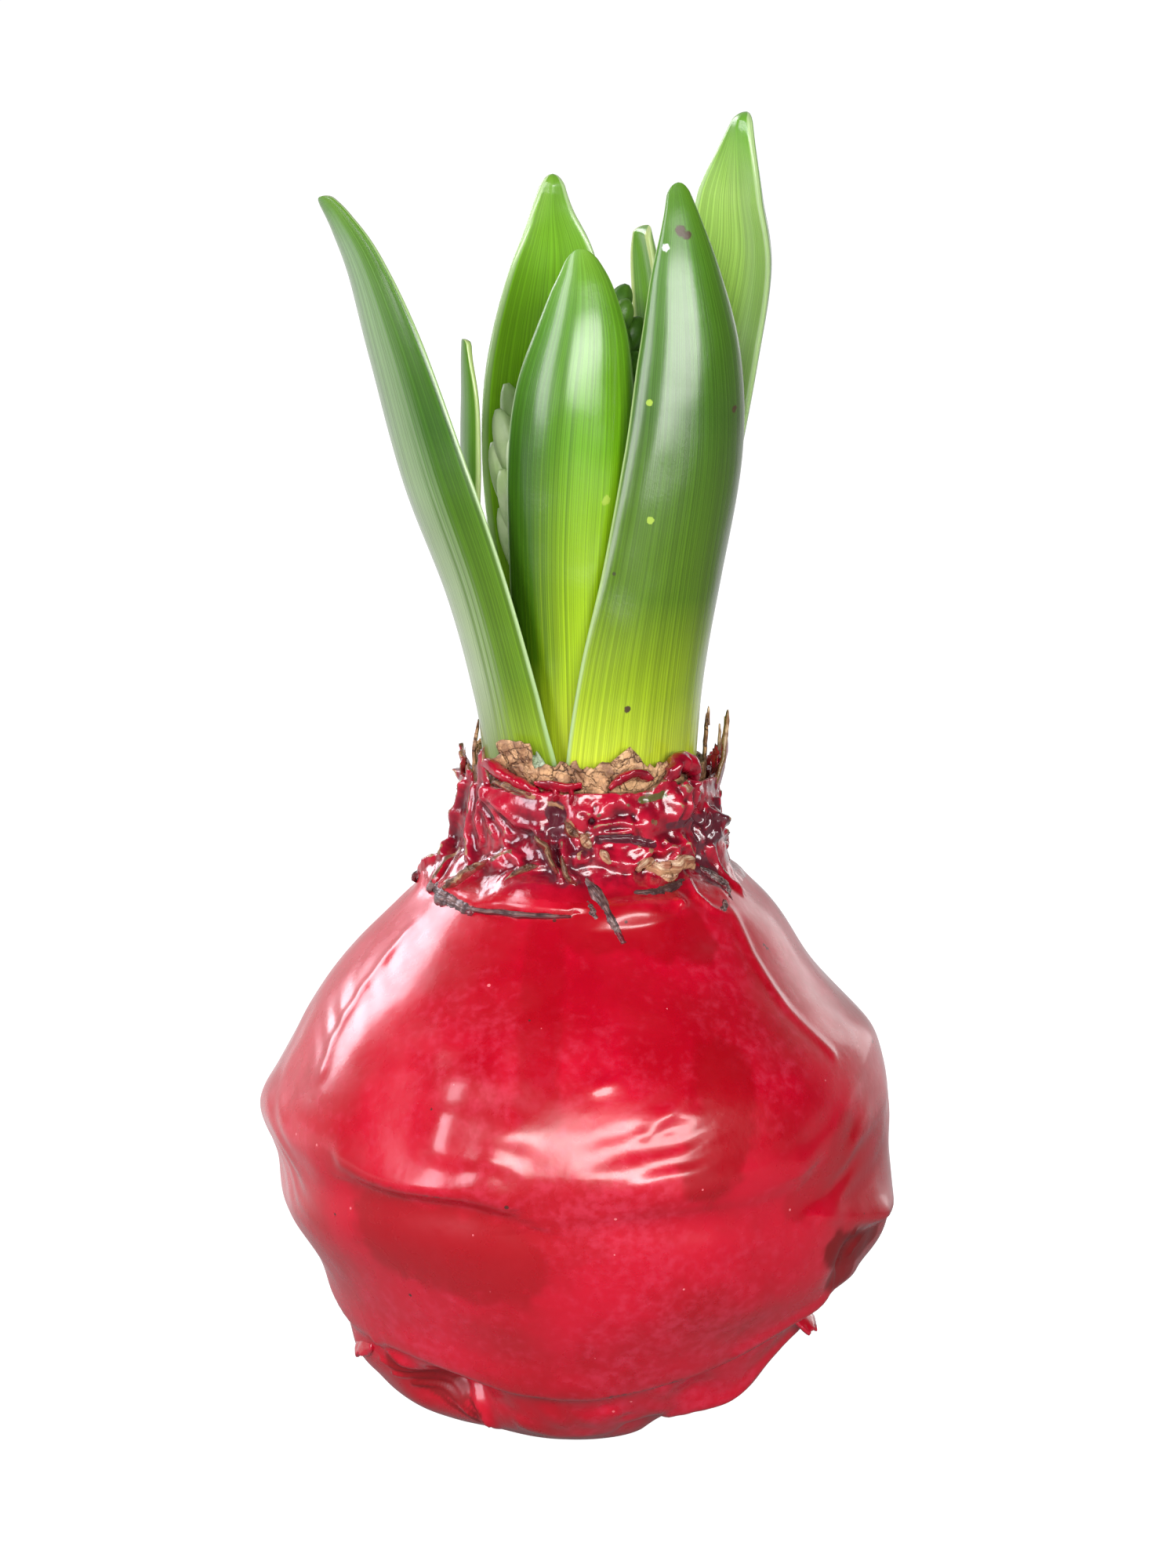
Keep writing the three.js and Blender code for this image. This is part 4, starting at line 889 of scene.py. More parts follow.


# Wrinkles the dipped collar, and marks where brown edges and dark scraps show through the wax and where shade
# is painted into it
def mark_collar(mesh, flake_points, flake_colours):
    count = len(mesh.vertices)
    places = np.zeros(count * 3)
    normals = np.zeros(count * 3)
    mesh.vertices.foreach_get("co", places)
    mesh.vertices.foreach_get("normal", normals)
    places = places.reshape(-1, 3) / MM
    tree = KDTree(len(flake_points))
    for index, point in enumerate(flake_points):
        tree.insert(point, index)
    tree.balance()
    marks = np.zeros((count, 4))
    for vertex, place in enumerate(places):
        _, index, distance = tree.find(place)
        marks[vertex, :2] = flake_colours[index] * max(0.0, 1.0 - distance / MARK_REACH)
    stain_and_shade_piece(mesh, places, COLLAR_STAINS_AND_SHADE, marks)
    calm = np.clip(lump_rise(CALM_PLACES, *place_round(places)), 0.0, 1.0)
    wrinkle = WRINKLE_RISES[0] * (crinkle(places, WRINKLE_SIZES[0], 31) - 0.6)
    wrinkle = wrinkle + WRINKLE_RISES[1] * rumple(places, WRINKLE_SIZES[1], 32)
    fade = smoothstep(places[:, 2], *WRINKLES_START) * (1.0 - WRINKLE_CALMED * calm)
    places = places + normals.reshape(-1, 3) * (wrinkle * fade)[:, None]
    mesh.vertices.foreach_set("co", (places * MM).ravel())
    mark_relief(mesh, places)


# Stains and painted shade of the collar: a line of bearing and height points, half width, strength and
# channel. The dark channel holds the dark strip and the purple lumps, and painted shade in the hole, along
# the folds, under the lumps and plates and round the back
COLLAR_STAINS_AND_SHADE = {
    # Painted shade in the hole
    "dark hole": ([(-10, 72.6), (-8.6, 72.0), (-7.6, 71.2)], 1.1, 1.0, "dark"),
    "dark strip": ([(9, 69.6), (15, 69.7), (22, 69.6), (31, 68.8)], 0.55, 1.0, "dark"),
    "centre fold's shade": ([(-15, 68.2), (-10, 66.8), (-6, 65.6), (0, 66.2)], 1.3, 0.55, "dark"),
    "upper lobe's shade": ([(-18, 70.0), (-12, 70.0), (-5, 70.2)], 0.7, 0.6, "dark"),
    "purple lumps": ([(56, 69.4), (64, 69.4), (72, 69.8)], 2.0, 0.8, "dark"),
    # Painted shade under the lumps
    "under the lumps": ([(56, 67.4), (58, 66.0), (61, 64.6)], 0.8, 0.9, "dark"),
    "left side": ([(-84, 73.0), (-80, 69.0), (-86, 66.0)], 1.4, 0.5, "dark"),
    "left corner": ([(-92, 64.0), (-88, 63.4)], 1.0, 0.9, "dark"),
    # Painted shade under the crumpled lump
    "under the crumpled lump": ([(40, 70.6), (48, 70.6), (55, 71.0)], 0.5, 0.8, "dark"),
    "right plate's shade": ([(54, 65.0), (60, 63.6), (63, 62.2)], 0.8, 0.7, "dark"),
    "back shade": ([(120, 68.0), (150, 70.0), (185, 67.6), (220, 70.0), (250, 68.0)], 1.2, 0.6, "dark"),
    "blister's spot": ([(31.4, 71.3), (32.6, 71.2)], 0.45, 0.8, "dry"),
    "pocket's brown edge": ([(-40, 74.9), (-33, 74.7), (-26, 74.4), (-19, 74.1)], 0.36, 1.0, "dry"),
    "brown patch": ([(-46, 69.9), (-43, 69.6)], 0.55, 0.7, "dry"),
    "left flap's rim": ([(-71, 66.6), (-71, 65.2), (-69, 63.8)], 0.30, 1.0, "dry"),
    "second flap's rim": ([(-36, 66.9), (-33, 67.7), (-29, 67.9)], 0.26, 0.8, "dry"),
    "star plate's rim": ([(-4, 71.4), (-1, 70.3), (4, 69.9)], 0.55, 0.8, "dry"),
    "first green patch": ([(25, 74.9), (29, 75.1)], 0.55, 1.0, "patch"),
    "second green patch": ([(28, 73.7), (34, 73.9), (38, 74.1)], 0.45, 1.0, "patch"),
}

# Flakes that lie close to the neck's sides and back: height, how many, width, length, lift, thickness
COLLAR_ROWS = [
    (72.6, 11, 5.0, 3.2, 10, 0.45),
    (70.0, 10, 5.4, 3.2, 12, 0.50),
    (67.4, 10, 5.4, 3.2, 12, 0.50),
    (64.8, 9, 5.4, 3.0, 10, 0.50),
]
ROW_FLAKES_FROM = 80.0
ROW_FLAKES_TO = 282.0
ROW_FLAKE_SINK = 0.25
ROW_SEED = 10
KIND_SHARES = [0.66, 0.20, 0.14]
LEAN_REACH = 0.8


def skin_root(bearing, height, sink):
    return wax_point_at(bearing, height) - bearing_direction(bearing) * sink


# Lean from upright of the wax skin at a height
def skin_lean(bearing, height):
    rise = wax_point_at(bearing, height + LEAN_REACH) - wax_point_at(bearing, height - LEAN_REACH)
    return math.degrees(math.atan2(float(np.dot(rise, bearing_direction(bearing))), float(rise[2])))


def row_flakes(rng):
    flakes = []
    for height, count, width, length, lift, thick in COLLAR_ROWS:
        for index in range(count):
            share = (index + 0.8 * rng.random()) / count
            bearing = ROW_FLAKES_FROM + (ROW_FLAKES_TO - ROW_FLAKES_FROM) * share
            level = height + 1.2 * (rng.random() - 0.5)
            size = 0.6 + 0.7 * rng.random()
            lean = skin_lean(bearing, level) + lift * (0.2 + 1.6 * rng.random())
            kind = rng.choice([RED_FLAKE, DARK_FLAKE, BROWN_FLAKE], p=KIND_SHARES)
            root = skin_root(bearing, level, thick / 2 + ROW_FLAKE_SINK)
            reach = length * (0.7 + 0.6 * rng.random())
            curl = 30 * (rng.random() - 0.4)
            tilt = 90 * (rng.random() - 0.5)
            flakes.append((int(kind), flake_shell(
                root, bearing, width * size, reach, lean, curl, thick, tilt, 0.4, 0.55,
                ROW_SEED + SEED_STEP * len(flakes))))
    return flakes


# Flakes that the photograph singles out:
# bearing, height, width, length, lean, curl, thickness, tilt, taper, crumple and kind
SINGLE_FLAKES = {
    "left tip": (-51, 73.0, 2.4, 5.2, 4, 6, 0.7, 0, 0.5, 0.30, BROWN_FLAKE),
    "left tip side": (-66, 72.4, 2.4, 3.4, 2, 2, 0.6, -8, 0.4, 0.35, RED_FLAKE),
    "first brown bit": (-17, 74.6, 1.6, 1.6, 172, -20, 0.5, 10, 0.3, 0.4, BROWN_FLAKE),
    "second brown bit": (-8, 74.8, 2.2, 1.5, 168, -20, 0.5, -14, 0.3, 0.4, BROWN_FLAKE),
    "right rim piece": (35, 73.4, 3.0, 2.8, 8, 0, 0.6, 38, 0.3, 0.35, BROWN_FLAKE),
    "crumpled lump": (49, 72.0, 4.0, 3.6, 12, 26, 1.3, 4, 0.3, 0.75, RED_FLAKE),
    "lump fold": (56, 72.4, 2.6, 2.6, 18, 14, 0.8, -20, 0.3, 0.6, RED_FLAKE),
    "first purple lump": (64, 69.0, 2.8, 2.4, 20, 20, 1.0, 10, 0.4, 0.8, DARK_FLAKE),
    "second purple lump": (70, 67.8, 3.0, 2.4, 24, 10, 1.0, -24, 0.4, 0.8, DARK_FLAKE),
    "third purple lump": (74, 70.0, 2.4, 2.2, 16, 20, 0.9, 24, 0.4, 0.7, DARK_FLAKE),
    "first fold": (-16, 68.4, 2.2, 2.2, 0, 10, 0.6, 40, 0.3, 0.6, DARK_FLAKE),
    "second fold": (-11, 66.6, 2.0, 2.0, 6, 10, 0.6, -30, 0.3, 0.6, RED_FLAKE),
    "third fold": (-3, 68.6, 2.2, 2.0, 4, 14, 0.6, 70, 0.3, 0.6, RED_FLAKE),
    "fourth fold": (0, 66.4, 2.2, 2.0, 8, 14, 0.6, 20, 0.3, 0.6, DARK_FLAKE),
    "crumpled end": (46, 69.2, 4.2, 2.6, 140, 24, 0.9, 10, 0.2, 0.8, RED_FLAKE),
    "torn end": (20, 67.0, 3.4, 2.0, 140, 20, 0.7, -16, 0.3, 0.6, RED_FLAKE),
    "underside flap": (66, 15.4, 5.0, 2.4, 140, 16, 1.1, 0, 0.5, 0.35, RED_FLAKE),
    "foot flap": (-70, 12.6, 5.6, 2.6, 158, 14, 1.2, 0, 0.5, 0.35, RED_FLAKE),
}
SINGLE_FLAKE_SINK = 0.1
SINGLE_SEED = 900


def single_flakes():
    flakes = []
    for index, (bearing, height, *shape, kind) in enumerate(SINGLE_FLAKES.values()):
        root = skin_root(bearing, height, shape[4] / 2 + SINGLE_FLAKE_SINK)
        flakes.append((kind, flake_shell(root, bearing, *shape, SINGLE_SEED + SEED_STEP * index)))
    return flakes


# Tunic scraps that stand out of the neck:
# bearing, height, width, length, lean, curl, tilt, taper, crumple and how torn the edge is
TUNIC_SCRAPS = {
    "left spike": (-90, 74.6, 1.3, 5.0, -1, -4, 0, 0.6, 0.25, 0.6),
    "left scrap": (-36, 74.8, 4.4, 5.2, 6, 10, -4, 0.0, 0.50, 0.5),
    "left scrap fold": (-44, 75.2, 2.2, 3.2, 14, 20, -10, 0.1, 0.5, 0.6),
    "left scrap foot": (-29, 74.4, 5.0, 3.0, 12, 10, 10, 0.1, 0.6, 1.0),
    "front band left": (-14, 74.4, 5.0, 3.0, 10, 10, -4, 0.1, 0.55, 0.8),
    "front band": (-4, 74.4, 5.6, 3.2, 8, 10, 4, 0.1, 0.55, 0.8),
    "front band right": (6, 74.6, 4.4, 3.0, 12, 8, 10, 0.1, 0.5, 0.8),
    "raised corner": (10.5, 75.7, 3.3, 4.0, 9, 0, 49, 0.0, 0.12, 0.15),
    "corner foot": (22, 74.4, 4.8, 2.2, 12, 6, 20, 0.1, 0.5, 1.0),
    "right scrap": (38, 74.6, 3.4, 3.2, 10, 0, -24, 0.25, 0.4, 0.6),
    "right sliver": (97, 74.6, 1.5, 5.6, 2, 4, 0, 0.3, 0.2, 0.5),
    "back scrap": (160, 75.0, 6.0, 3.4, 8, 8, 10, 0.25, 0.4, 1.0),
    "back middle scrap": (190, 74.8, 5.0, 2.4, 8, 8, -20, 0.25, 0.5, 1.0),
    "back left scrap": (222, 75.0, 5.0, 2.8, 10, 12, 12, 0.25, 0.5, 1.0),
    "back right scrap": (128, 74.8, 4.4, 2.6, 8, 8, -16, 0.25, 0.5, 1.0),
    "left side scrap": (-118, 74.8, 4.0, 2.6, 8, 8, 14, 0.25, 0.5, 1.0),
}
GREEN_SCALE = {"scale": (-22.5, 75.6, 2.0, 3.2, 3, 4, -26, 0.3, 0.15, 0.3)}
SCRAP_THICKNESS = 0.45
SCRAP_SEED = 1200
GREEN_SCALE_SEED = 1400


def scrap_shell(values, seed):
    bearing, height, width, length, lean, curl, tilt, taper, crumple, torn = values
    rim_radius = (BULB_OUTLINE[-1][0] + WELL_RADIUS_TOP) / 2
    root = neck_ring(np.array([bearing]), rim_radius, height)[0]
    return flake_shell(
        root, bearing, width, length, lean, curl, SCRAP_THICKNESS, tilt, taper, crumple, seed, torn)


# The dry curl at the right of the neck, red wax that ends in a cream tip, and its two thin neighbours:
# bearing, height, width, length, lean, curl, thickness, tilt, taper, crumple
DRY_CURLS = {
    "tall curl": (84, 71.8, 3.2, 9.2, 20, -20, 0.7, 2, 0.90, 0.30),
    "curl's dry back": (93, 72.2, 1.6, 7.0, 16, -14, 0.45, 0, 0.75, 0.25),
    "thin tip": (99, 79.4, 0.7, 2.2, 2, 10, 0.35, 16, 0.5, 0.15),
}
CURLS_ROOT_UNDER = 74.0
CURL_SINK = 0.8
CURL_TORN = 0.5
CURL_SEED = 1500


def curl_shell(values, seed):
    bearing, height, *shape = values
    root = skin_root(bearing, min(height, CURLS_ROOT_UNDER), CURL_SINK)
    root = root + UP * max(height - CURLS_ROOT_UNDER, 0.0)
    return flake_shell(root, bearing, *shape, seed, CURL_TORN)


# Ribbons on the wax: bearing and height points, width, rise and how ragged the ribbon is
SEALED_STRIPS = {
    "left strip": ([(-73, 63.2), (-66, 62.7), (-56, 62.4), (-45, 62.0), (-37, 61.7)], 2.5, 0.62, 0.16),
    "left strip tail": ([(-42, 61.9), (-30, 61.9), (-16, 61.9), (-1.8, 61.9)], 0.75, 0.46, 0.16),
    "splinter": ([(2.0, 65.8), (6.5, 64.3), (10, 62.4), (14.1, 59.2)], 1.7, 0.60, 0.14),
    "splinter side piece": ([(3.2, 63.4), (5.0, 62.4), (7.2, 61.2)], 1.1, 0.50, 0.16),
    "front rim strip": ([(15, 63.8), (24, 63.7), (35, 64.0), (47, 64.8)], 1.5, 0.55, 0.16),
    "right strip": ([(56, 65.6), (60, 64.4), (62.5, 63.0), (60, 61.6)], 1.3, 0.7, 0.30),
    "right strip's end": ([(56, 62.0), (53, 61.3), (50.6, 61.3)], 1.2, 0.6, 0.30),
    "left corner bit": ([(-93, 64.2), (-89, 63.4), (-86, 62.6)], 1.3, 0.8, 0.40),
}
DRY_EDGES = {
    "diagonal flap's edge": ([(-56, 63.2), (-50.6, 64.2), (-46, 65.6), (-39.4, 66.7)], 1.2, 1.3, 0.45),
    "third flap's edge": ([(-28, 64.9), (-21, 66.2), (-15, 66.8)], 0.8, 1.1, 0.40),
    "centre fold's edge": ([(-17, 70.0), (-13, 68.9), (-10.6, 67.5), (-7.4, 66.1)], 0.8, 1.2, 0.45),
    "second centre edge": ([(-5.8, 68.0), (-5, 66.8), (-3.4, 65.6), (-0.5, 65.2)], 0.7, 1.1, 0.45),
    "pocket's brown rim": ([(-41, 75.3), (-34, 75.1), (-27, 74.7), (-20, 74.4)], 0.8, 0.5, 0.35),
    "star plate's edge": ([(-4.6, 71.6), (-2.4, 70.4), (1.5, 69.8)], 0.9, 0.9, 0.50),
    "back edge one": ([(120, 66.0), (126, 67.2), (134, 67.4)], 0.9, 1.0, 0.50),
    "back edge two": ([(170, 70.2), (178, 69.4), (186, 70.0)], 0.9, 1.0, 0.50),
    "back edge three": ([(214, 66.8), (222, 67.8), (231, 67.0)], 1.0, 1.0, 0.50),
}
RED_ROLLS = {
    "rolled lip": ([(-56, 75.4), (-48, 77.0), (-38, 76.3), (-28, 75.4), (-18, 74.8)], 1.7, 1.0, 0.25),
    "roll on the band": ([(-19, 75.6), (-12, 75.5), (-5, 75.3), (2, 75.7)], 1.0, 1.3, 0.20),
    "first red drip": ([(-10, 75.4), (-9, 74.4), (-10, 73.6)], 0.8, 1.1, 0.25),
    "second red drip": ([(-3, 75.2), (-2, 74.4), (-3, 73.4)], 0.8, 1.1, 0.25),
    "lip at the corner": ([(14, 75.2), (20, 76.4), (27, 76.7), (33, 76.0)], 1.1, 1.1, 0.25),
    "lip of the lump": ([(40, 75.4), (47, 77.4), (54, 77.0), (60, 75.0)], 2.0, 1.2, 0.30),
}
CREAM_EDGES = {
    "torn cream edge": (
        [(24, 66.0), (27.5, 66.9), (31, 66.2), (36, 66.0), (42, 66.7), (48, 66.2), (52, 65.5)],
        1.5, 1.7, 0.60),
    "lower cream edge": ([(33, 65.4), (37, 65.0), (42, 65.7)], 0.9, 1.3, 0.60),
    "cream fleck": ([(9.8, 68.5), (11.2, 67.8), (13.2, 67.1)], 0.9, 1.0, 0.50),
    "small cream flake": ([(1.6, 70.2), (3.4, 69.5), (5.8, 68.7)], 0.9, 1.0, 0.50),
}
STRIP_ROWS = 40
STRIP_ACROSS = 11
STRIP_FOOT = 0.3
STRIP_SINK = 0.9
STRIP_LEANS_UP = 0.6
STRIP_END_WIDTH = 0.25
STRIP_SIDE_THINS = 0.7


# How far the finer relief of the wax stands out at some points
def fold_height(points):
    where = (points, *place_round(points))
    return body_relief(*where) + collar_relief(*where)


# One ribbon as a shell that lies on the wax, thick in its middle and torn at its sides
def ribbon_shell(values, seed):
    line, width, rise, ragged = values
    shares = np.linspace(0.0, 1.0, STRIP_ROWS)
    places = curve_points(line, shares)
    middle = np.array([wax_point_at(bearing, height) for bearing, height in places])
    middle[:, 2] = places[:, 1]
    outward = bearing_direction(places[:, 0])
    middle += outward * np.maximum(fold_height(middle), 0.0)[:, None]
    along = unit(np.gradient(middle, axis=0))
    out = outward + UP * STRIP_LEANS_UP
    out = unit(out - along * np.sum(out * along, axis=1, keepdims=True))
    across_way = np.cross(along, out)
    across = np.linspace(-1.0, 1.0, STRIP_ACROSS)
    swell = np.sin(math.pi * (0.08 + 0.84 * shares))
    taper = (STRIP_END_WIDTH + (1 - STRIP_END_WIDTH) * swell)[:, None]
    torn = 1.0 + ragged * (rumple(middle, 1.1, seed) + 0.6 * rumple(middle, 0.5, seed + 3))[:, None]
    spread = across[None, :] * width / 2 * taper * torn
    crown = rise * (1.0 - STRIP_SIDE_THINS * np.abs(across[None, :]) ** 2.4) * taper - STRIP_FOOT
    points = middle[:, None, :] + across_way[:, None, :] * spread[..., None]
    crown = crown + ragged * (0.7 * rumple(points, 0.9, seed + 1) + 0.5 * rumple(points, 0.45, seed + 2))
    return points + out[:, None, :] * crown[..., None], points - out[:, None, :] * STRIP_SINK, shares, across


# Natural bulb

def make_bulb(material):
    bearings = ring_bearings(BULB_SIDES)
    place = curve_points(BULB_OUTLINE, np.linspace(0.0, 1.0, BULB_ROWS))
    radius = place[:, 0, None] + np.zeros(BULB_SIDES)
    height = place[:, 1, None] + np.zeros(BULB_SIDES)
    out = bearing_direction(bearings)[None]
    body = out * radius[..., None]
    body[..., 0] += NECK_X * smoothstep(height, *NECK_SHIFT)
    body[..., 2] = height
    rim = smoothstep(height, RAGGED_RIM_FROM, NECK_TOP)
    body[..., 2] += rim * RAGGED_RIM_UP * rumple(body, 1.8, 21)
    body = body + out * (RAGGED_RIM_OUT * rim * rumple(body, 1.2, 22))[..., None]
    inner_top = neck_ring(bearings, WELL_RADIUS_TOP + RIM_INSET, body[-1, :, 2] - RIM_DROP)
    inner_low = neck_ring(bearings, WELL_RADIUS_FLOOR, WELL_FLOOR)
    middles = [[0, 0, BULB_OUTLINE[0][1]], [NECK_X, 0, WELL_FLOOR]]
    grid = np.concatenate([*body, inner_top, inner_low, middles])
    ring = np.arange(BULB_SIDES)
    faces = grid_faces(BULB_ROWS + 2, BULB_SIDES, True).tolist()
    faces += fan(len(grid) - 2, ring, upward=False)
    faces += fan(len(grid) - 1, ring + (BULB_ROWS + 1) * BULB_SIDES, upward=True)
    return mesh_object("bulb_neck", grid, faces, [material])


# Leaves

def neck_stations(layer, bearing, half):
    stations = []
    for height in (WELL_FLOOR + GAP, (WELL_FLOOR + NECK_TOP) / 2, NECK_TOP + 1):
        share = min((height - WELL_FLOOR) / (NECK_TOP - WELL_FLOOR), 1.0)
        wall = WELL_RADIUS_FLOOR + (WELL_RADIUS_TOP - WELL_RADIUS_FLOOR) * share
        radius = wall - LEAF_CLEARANCE - layer * LEAF_LAYER_STEP
        keel = bearing_direction(bearing) * radius
        stations.append((keel[0] + NECK_X, keel[1], height, radius, half * radius / WELL_RADIUS_TOP))
    return stations


# A leaf is an outer and an inner face about the same rolled blade, joined by rounded edges
def make_leaf(name, materials):
    layer, neck_bearing, neck_half, tip_bearing, blade_thick, free_stations = LEAVES[name]
    stations = np.array(neck_stations(layer, neck_bearing, neck_half) + free_stations)
    share = 1.0 - (1.0 - np.linspace(0.0, 1.0, LEAF_ROWS)) ** LEAF_ROWS_TO_TIP
    keel = curve_points(stations[:, :3], share)
    along = curve_along(stations[:, :3], share)
    rolled, half = curve_points(stations[:, 3:], share).T
    free = smoothstep(share, 2 / (len(stations) - 1), LEAF_FREE_AT)
    bearing = neck_bearing + turn_between(tip_bearing, neck_bearing) * free
    level = bearing_direction(bearing)
    outward = unit(level - along * np.sum(level * along, axis=1, keepdims=True))
    sideways = np.cross(along, outward)
    past = np.maximum(0.0, (share - LEAF_TIP_ROUND_FROM) / (1 - LEAF_TIP_ROUND_FROM))
    rounding = np.sqrt(np.maximum(0.0, 1 - past * past) + LEAF_TIP_BLUNT)
    full = NECK_LEAF_THICKNESS + (blade_thick - NECK_LEAF_THICKNESS) * free
    thick = np.minimum(full, LEAF_THICK_SHARE * rolled) * np.minimum(1.0, rounding + LEAF_TIP_THICKNESS)
    half = half * rounding
    across = np.sin(np.linspace(-math.pi / 2, math.pi / 2, LEAF_ACROSS))
    turn = across[None, :] * (half / rolled)[:, None]
    edge = np.minimum(LEAF_EDGE_THICKNESS, LEAF_EDGE_SHARE * thick)[:, None]
    depth = edge + (thick[:, None] - edge) * (1 - across[None, :] ** 2)
    rounded_edge = np.sqrt(np.clip(1.0 - np.abs(across) ** LEAF_EDGE_POWER, 0.0, 1.0))[None, :]
    lift = (1.0 - rounded_edge) * edge * 0.5

    def face_points(radius):
        return (keel[:, None] + sideways[:, None] * (radius * np.sin(turn))[..., None]
                + outward[:, None] * (radius * np.cos(turn) - rolled[:, None])[..., None])

    outer = face_points(rolled[:, None] - lift)
    inner = face_points(rolled[:, None] - depth + lift)
    ring = np.concatenate([outer, inner[:, ::-1]], axis=1)
    columns = ring.shape[1]
    u = (np.concatenate([across, across[::-1]]) + 1) / 2
    uv = np.stack(np.broadcast_arrays(u[None, :], share[:, None]), axis=-1).reshape(-1, 2)
    faces = grid_faces(LEAF_ROWS, columns, True).tolist()
    column = np.arange(len(faces)) % columns
    slots = np.where((column >= LEAF_ACROSS) & (column < columns - 1), 1, 0).tolist()
    last = (LEAF_ROWS - 1) * columns
    for step in range(LEAF_ACROSS - 1):
        far = columns - 1 - step
        faces.append((step, far, far - 1, step + 1))
        faces.append((last + step, last + step + 1, last + far - 1, last + far))
        slots += [0, 0]
    return mesh_object(name + "_blade", ring.reshape(-1, 3), faces, materials, uv, slots)


# Flower spike

SPIKE_SIDES = 40
SPIKE_ROWS = 70
BUD_COUNT = 62
BUD_SIDES = 24
BUD_ROWS = 12
BUDS_FROM = 95.0
BUDS_TO = 126.4
BUD_SINK = 1.1
GOLDEN_TURN = 137.508
# Lean from upright and length of the lowest buds, and how each changes at the top of the spike, on its
# left, and on its upper left, where leaves hide the buds
BUD_LEAN = (40, -16, -16, -15)
BUD_LENGTH = (6.6, -2.8, 3.2, -1.0)
BUD_RADIUS = 1.85
BUD_THINNER_AT_TOP = 0.5
BUD_DEEPER_HIDDEN = 0.4
BUD_GROOVES = 3
BUD_GROOVE_DEPTH = 0.10


# One closed bud: a spindle with three grooves, open at its root, and its tip as one flat face
def bud_part(root, direction, length, radius, seed):
    shares = np.linspace(0.0, 1.0, BUD_ROWS)
    angle = np.linspace(0.0, 2 * math.pi, BUD_SIDES, endpoint=False)
    profile = np.sin(math.pi * np.clip(0.12 + 0.86 * shares, 0, 1)) ** 0.55
    round_bud = np.abs(np.cos(BUD_GROOVES * angle[None, :] + seed)) ** 3
    groove = 1.0 - BUD_GROOVE_DEPTH * round_bud * (0.3 + 0.7 * shares[:, None])
    wide = radius * profile[:, None] * groove
    side = unit(np.cross(direction, UP + 0.01))
    other = np.cross(direction, side)
    ring = (side * np.cos(angle)[None, :, None] + other * np.sin(angle)[None, :, None]) * wide[..., None]
    points = root + direction * (length * shares)[:, None, None] + ring
    tip = range((BUD_ROWS - 1) * BUD_SIDES, BUD_ROWS * BUD_SIDES)
    return points.reshape(-1, 3), [*grid_faces(BUD_ROWS, BUD_SIDES, True).tolist(), tuple(tip)]


def make_flower_spike(material):
    place = curve_points(SPIKE_STATIONS, np.linspace(0.0, 1.0, SPIKE_ROWS))
    core = bearing_direction(ring_bearings(SPIKE_SIDES))[None] * place[:, 2, None, None]
    core = core + np.stack([place[:, 0], np.full(SPIKE_ROWS, SPIKE_Y), place[:, 1]], -1)[:, None]
    parts = [(core.reshape(-1, 3), grid_faces(SPIKE_ROWS, SPIKE_SIDES, True).tolist())]
    for index in range(BUD_COUNT):
        share = index / (BUD_COUNT - 1)
        height = BUDS_FROM + (BUDS_TO - BUDS_FROM) * share ** 0.9
        x, _, radius = place[np.argmin(np.abs(place[:, 1] - height))]
        outward = bearing_direction(index * GOLDEN_TURN)
        hidden = float(smoothstep(-outward[0], 0.1, 0.4)) * float(smoothstep(height, 111.0, 113.0))
        leftward = float(smoothstep(-outward[0], 0.2, 0.6)) * (1.0 - hidden)
        shifts = (1.0, share, leftward, hidden)
        lean = math.radians(sum(value * shift for value, shift in zip(BUD_LEAN, shifts)))
        length = sum(value * shift for value, shift in zip(BUD_LENGTH, shifts))
        direction = UP * math.cos(lean) + outward * math.sin(lean)
        root = outward * max(radius - BUD_SINK - BUD_DEEPER_HIDDEN * hidden, 0.0)
        root = root + np.array([x, SPIKE_Y, height - BUD_SINK])
        parts.append(bud_part(root, direction, length, BUD_RADIUS - BUD_THINNER_AT_TOP * share, index))
    return mesh_object("bud_head", *join_parts(parts), [material])


# Materials

VECTOR = "NodeSocketVector"
NUMBER = "NodeSocketFloat"
COLOUR = "NodeSocketColor"


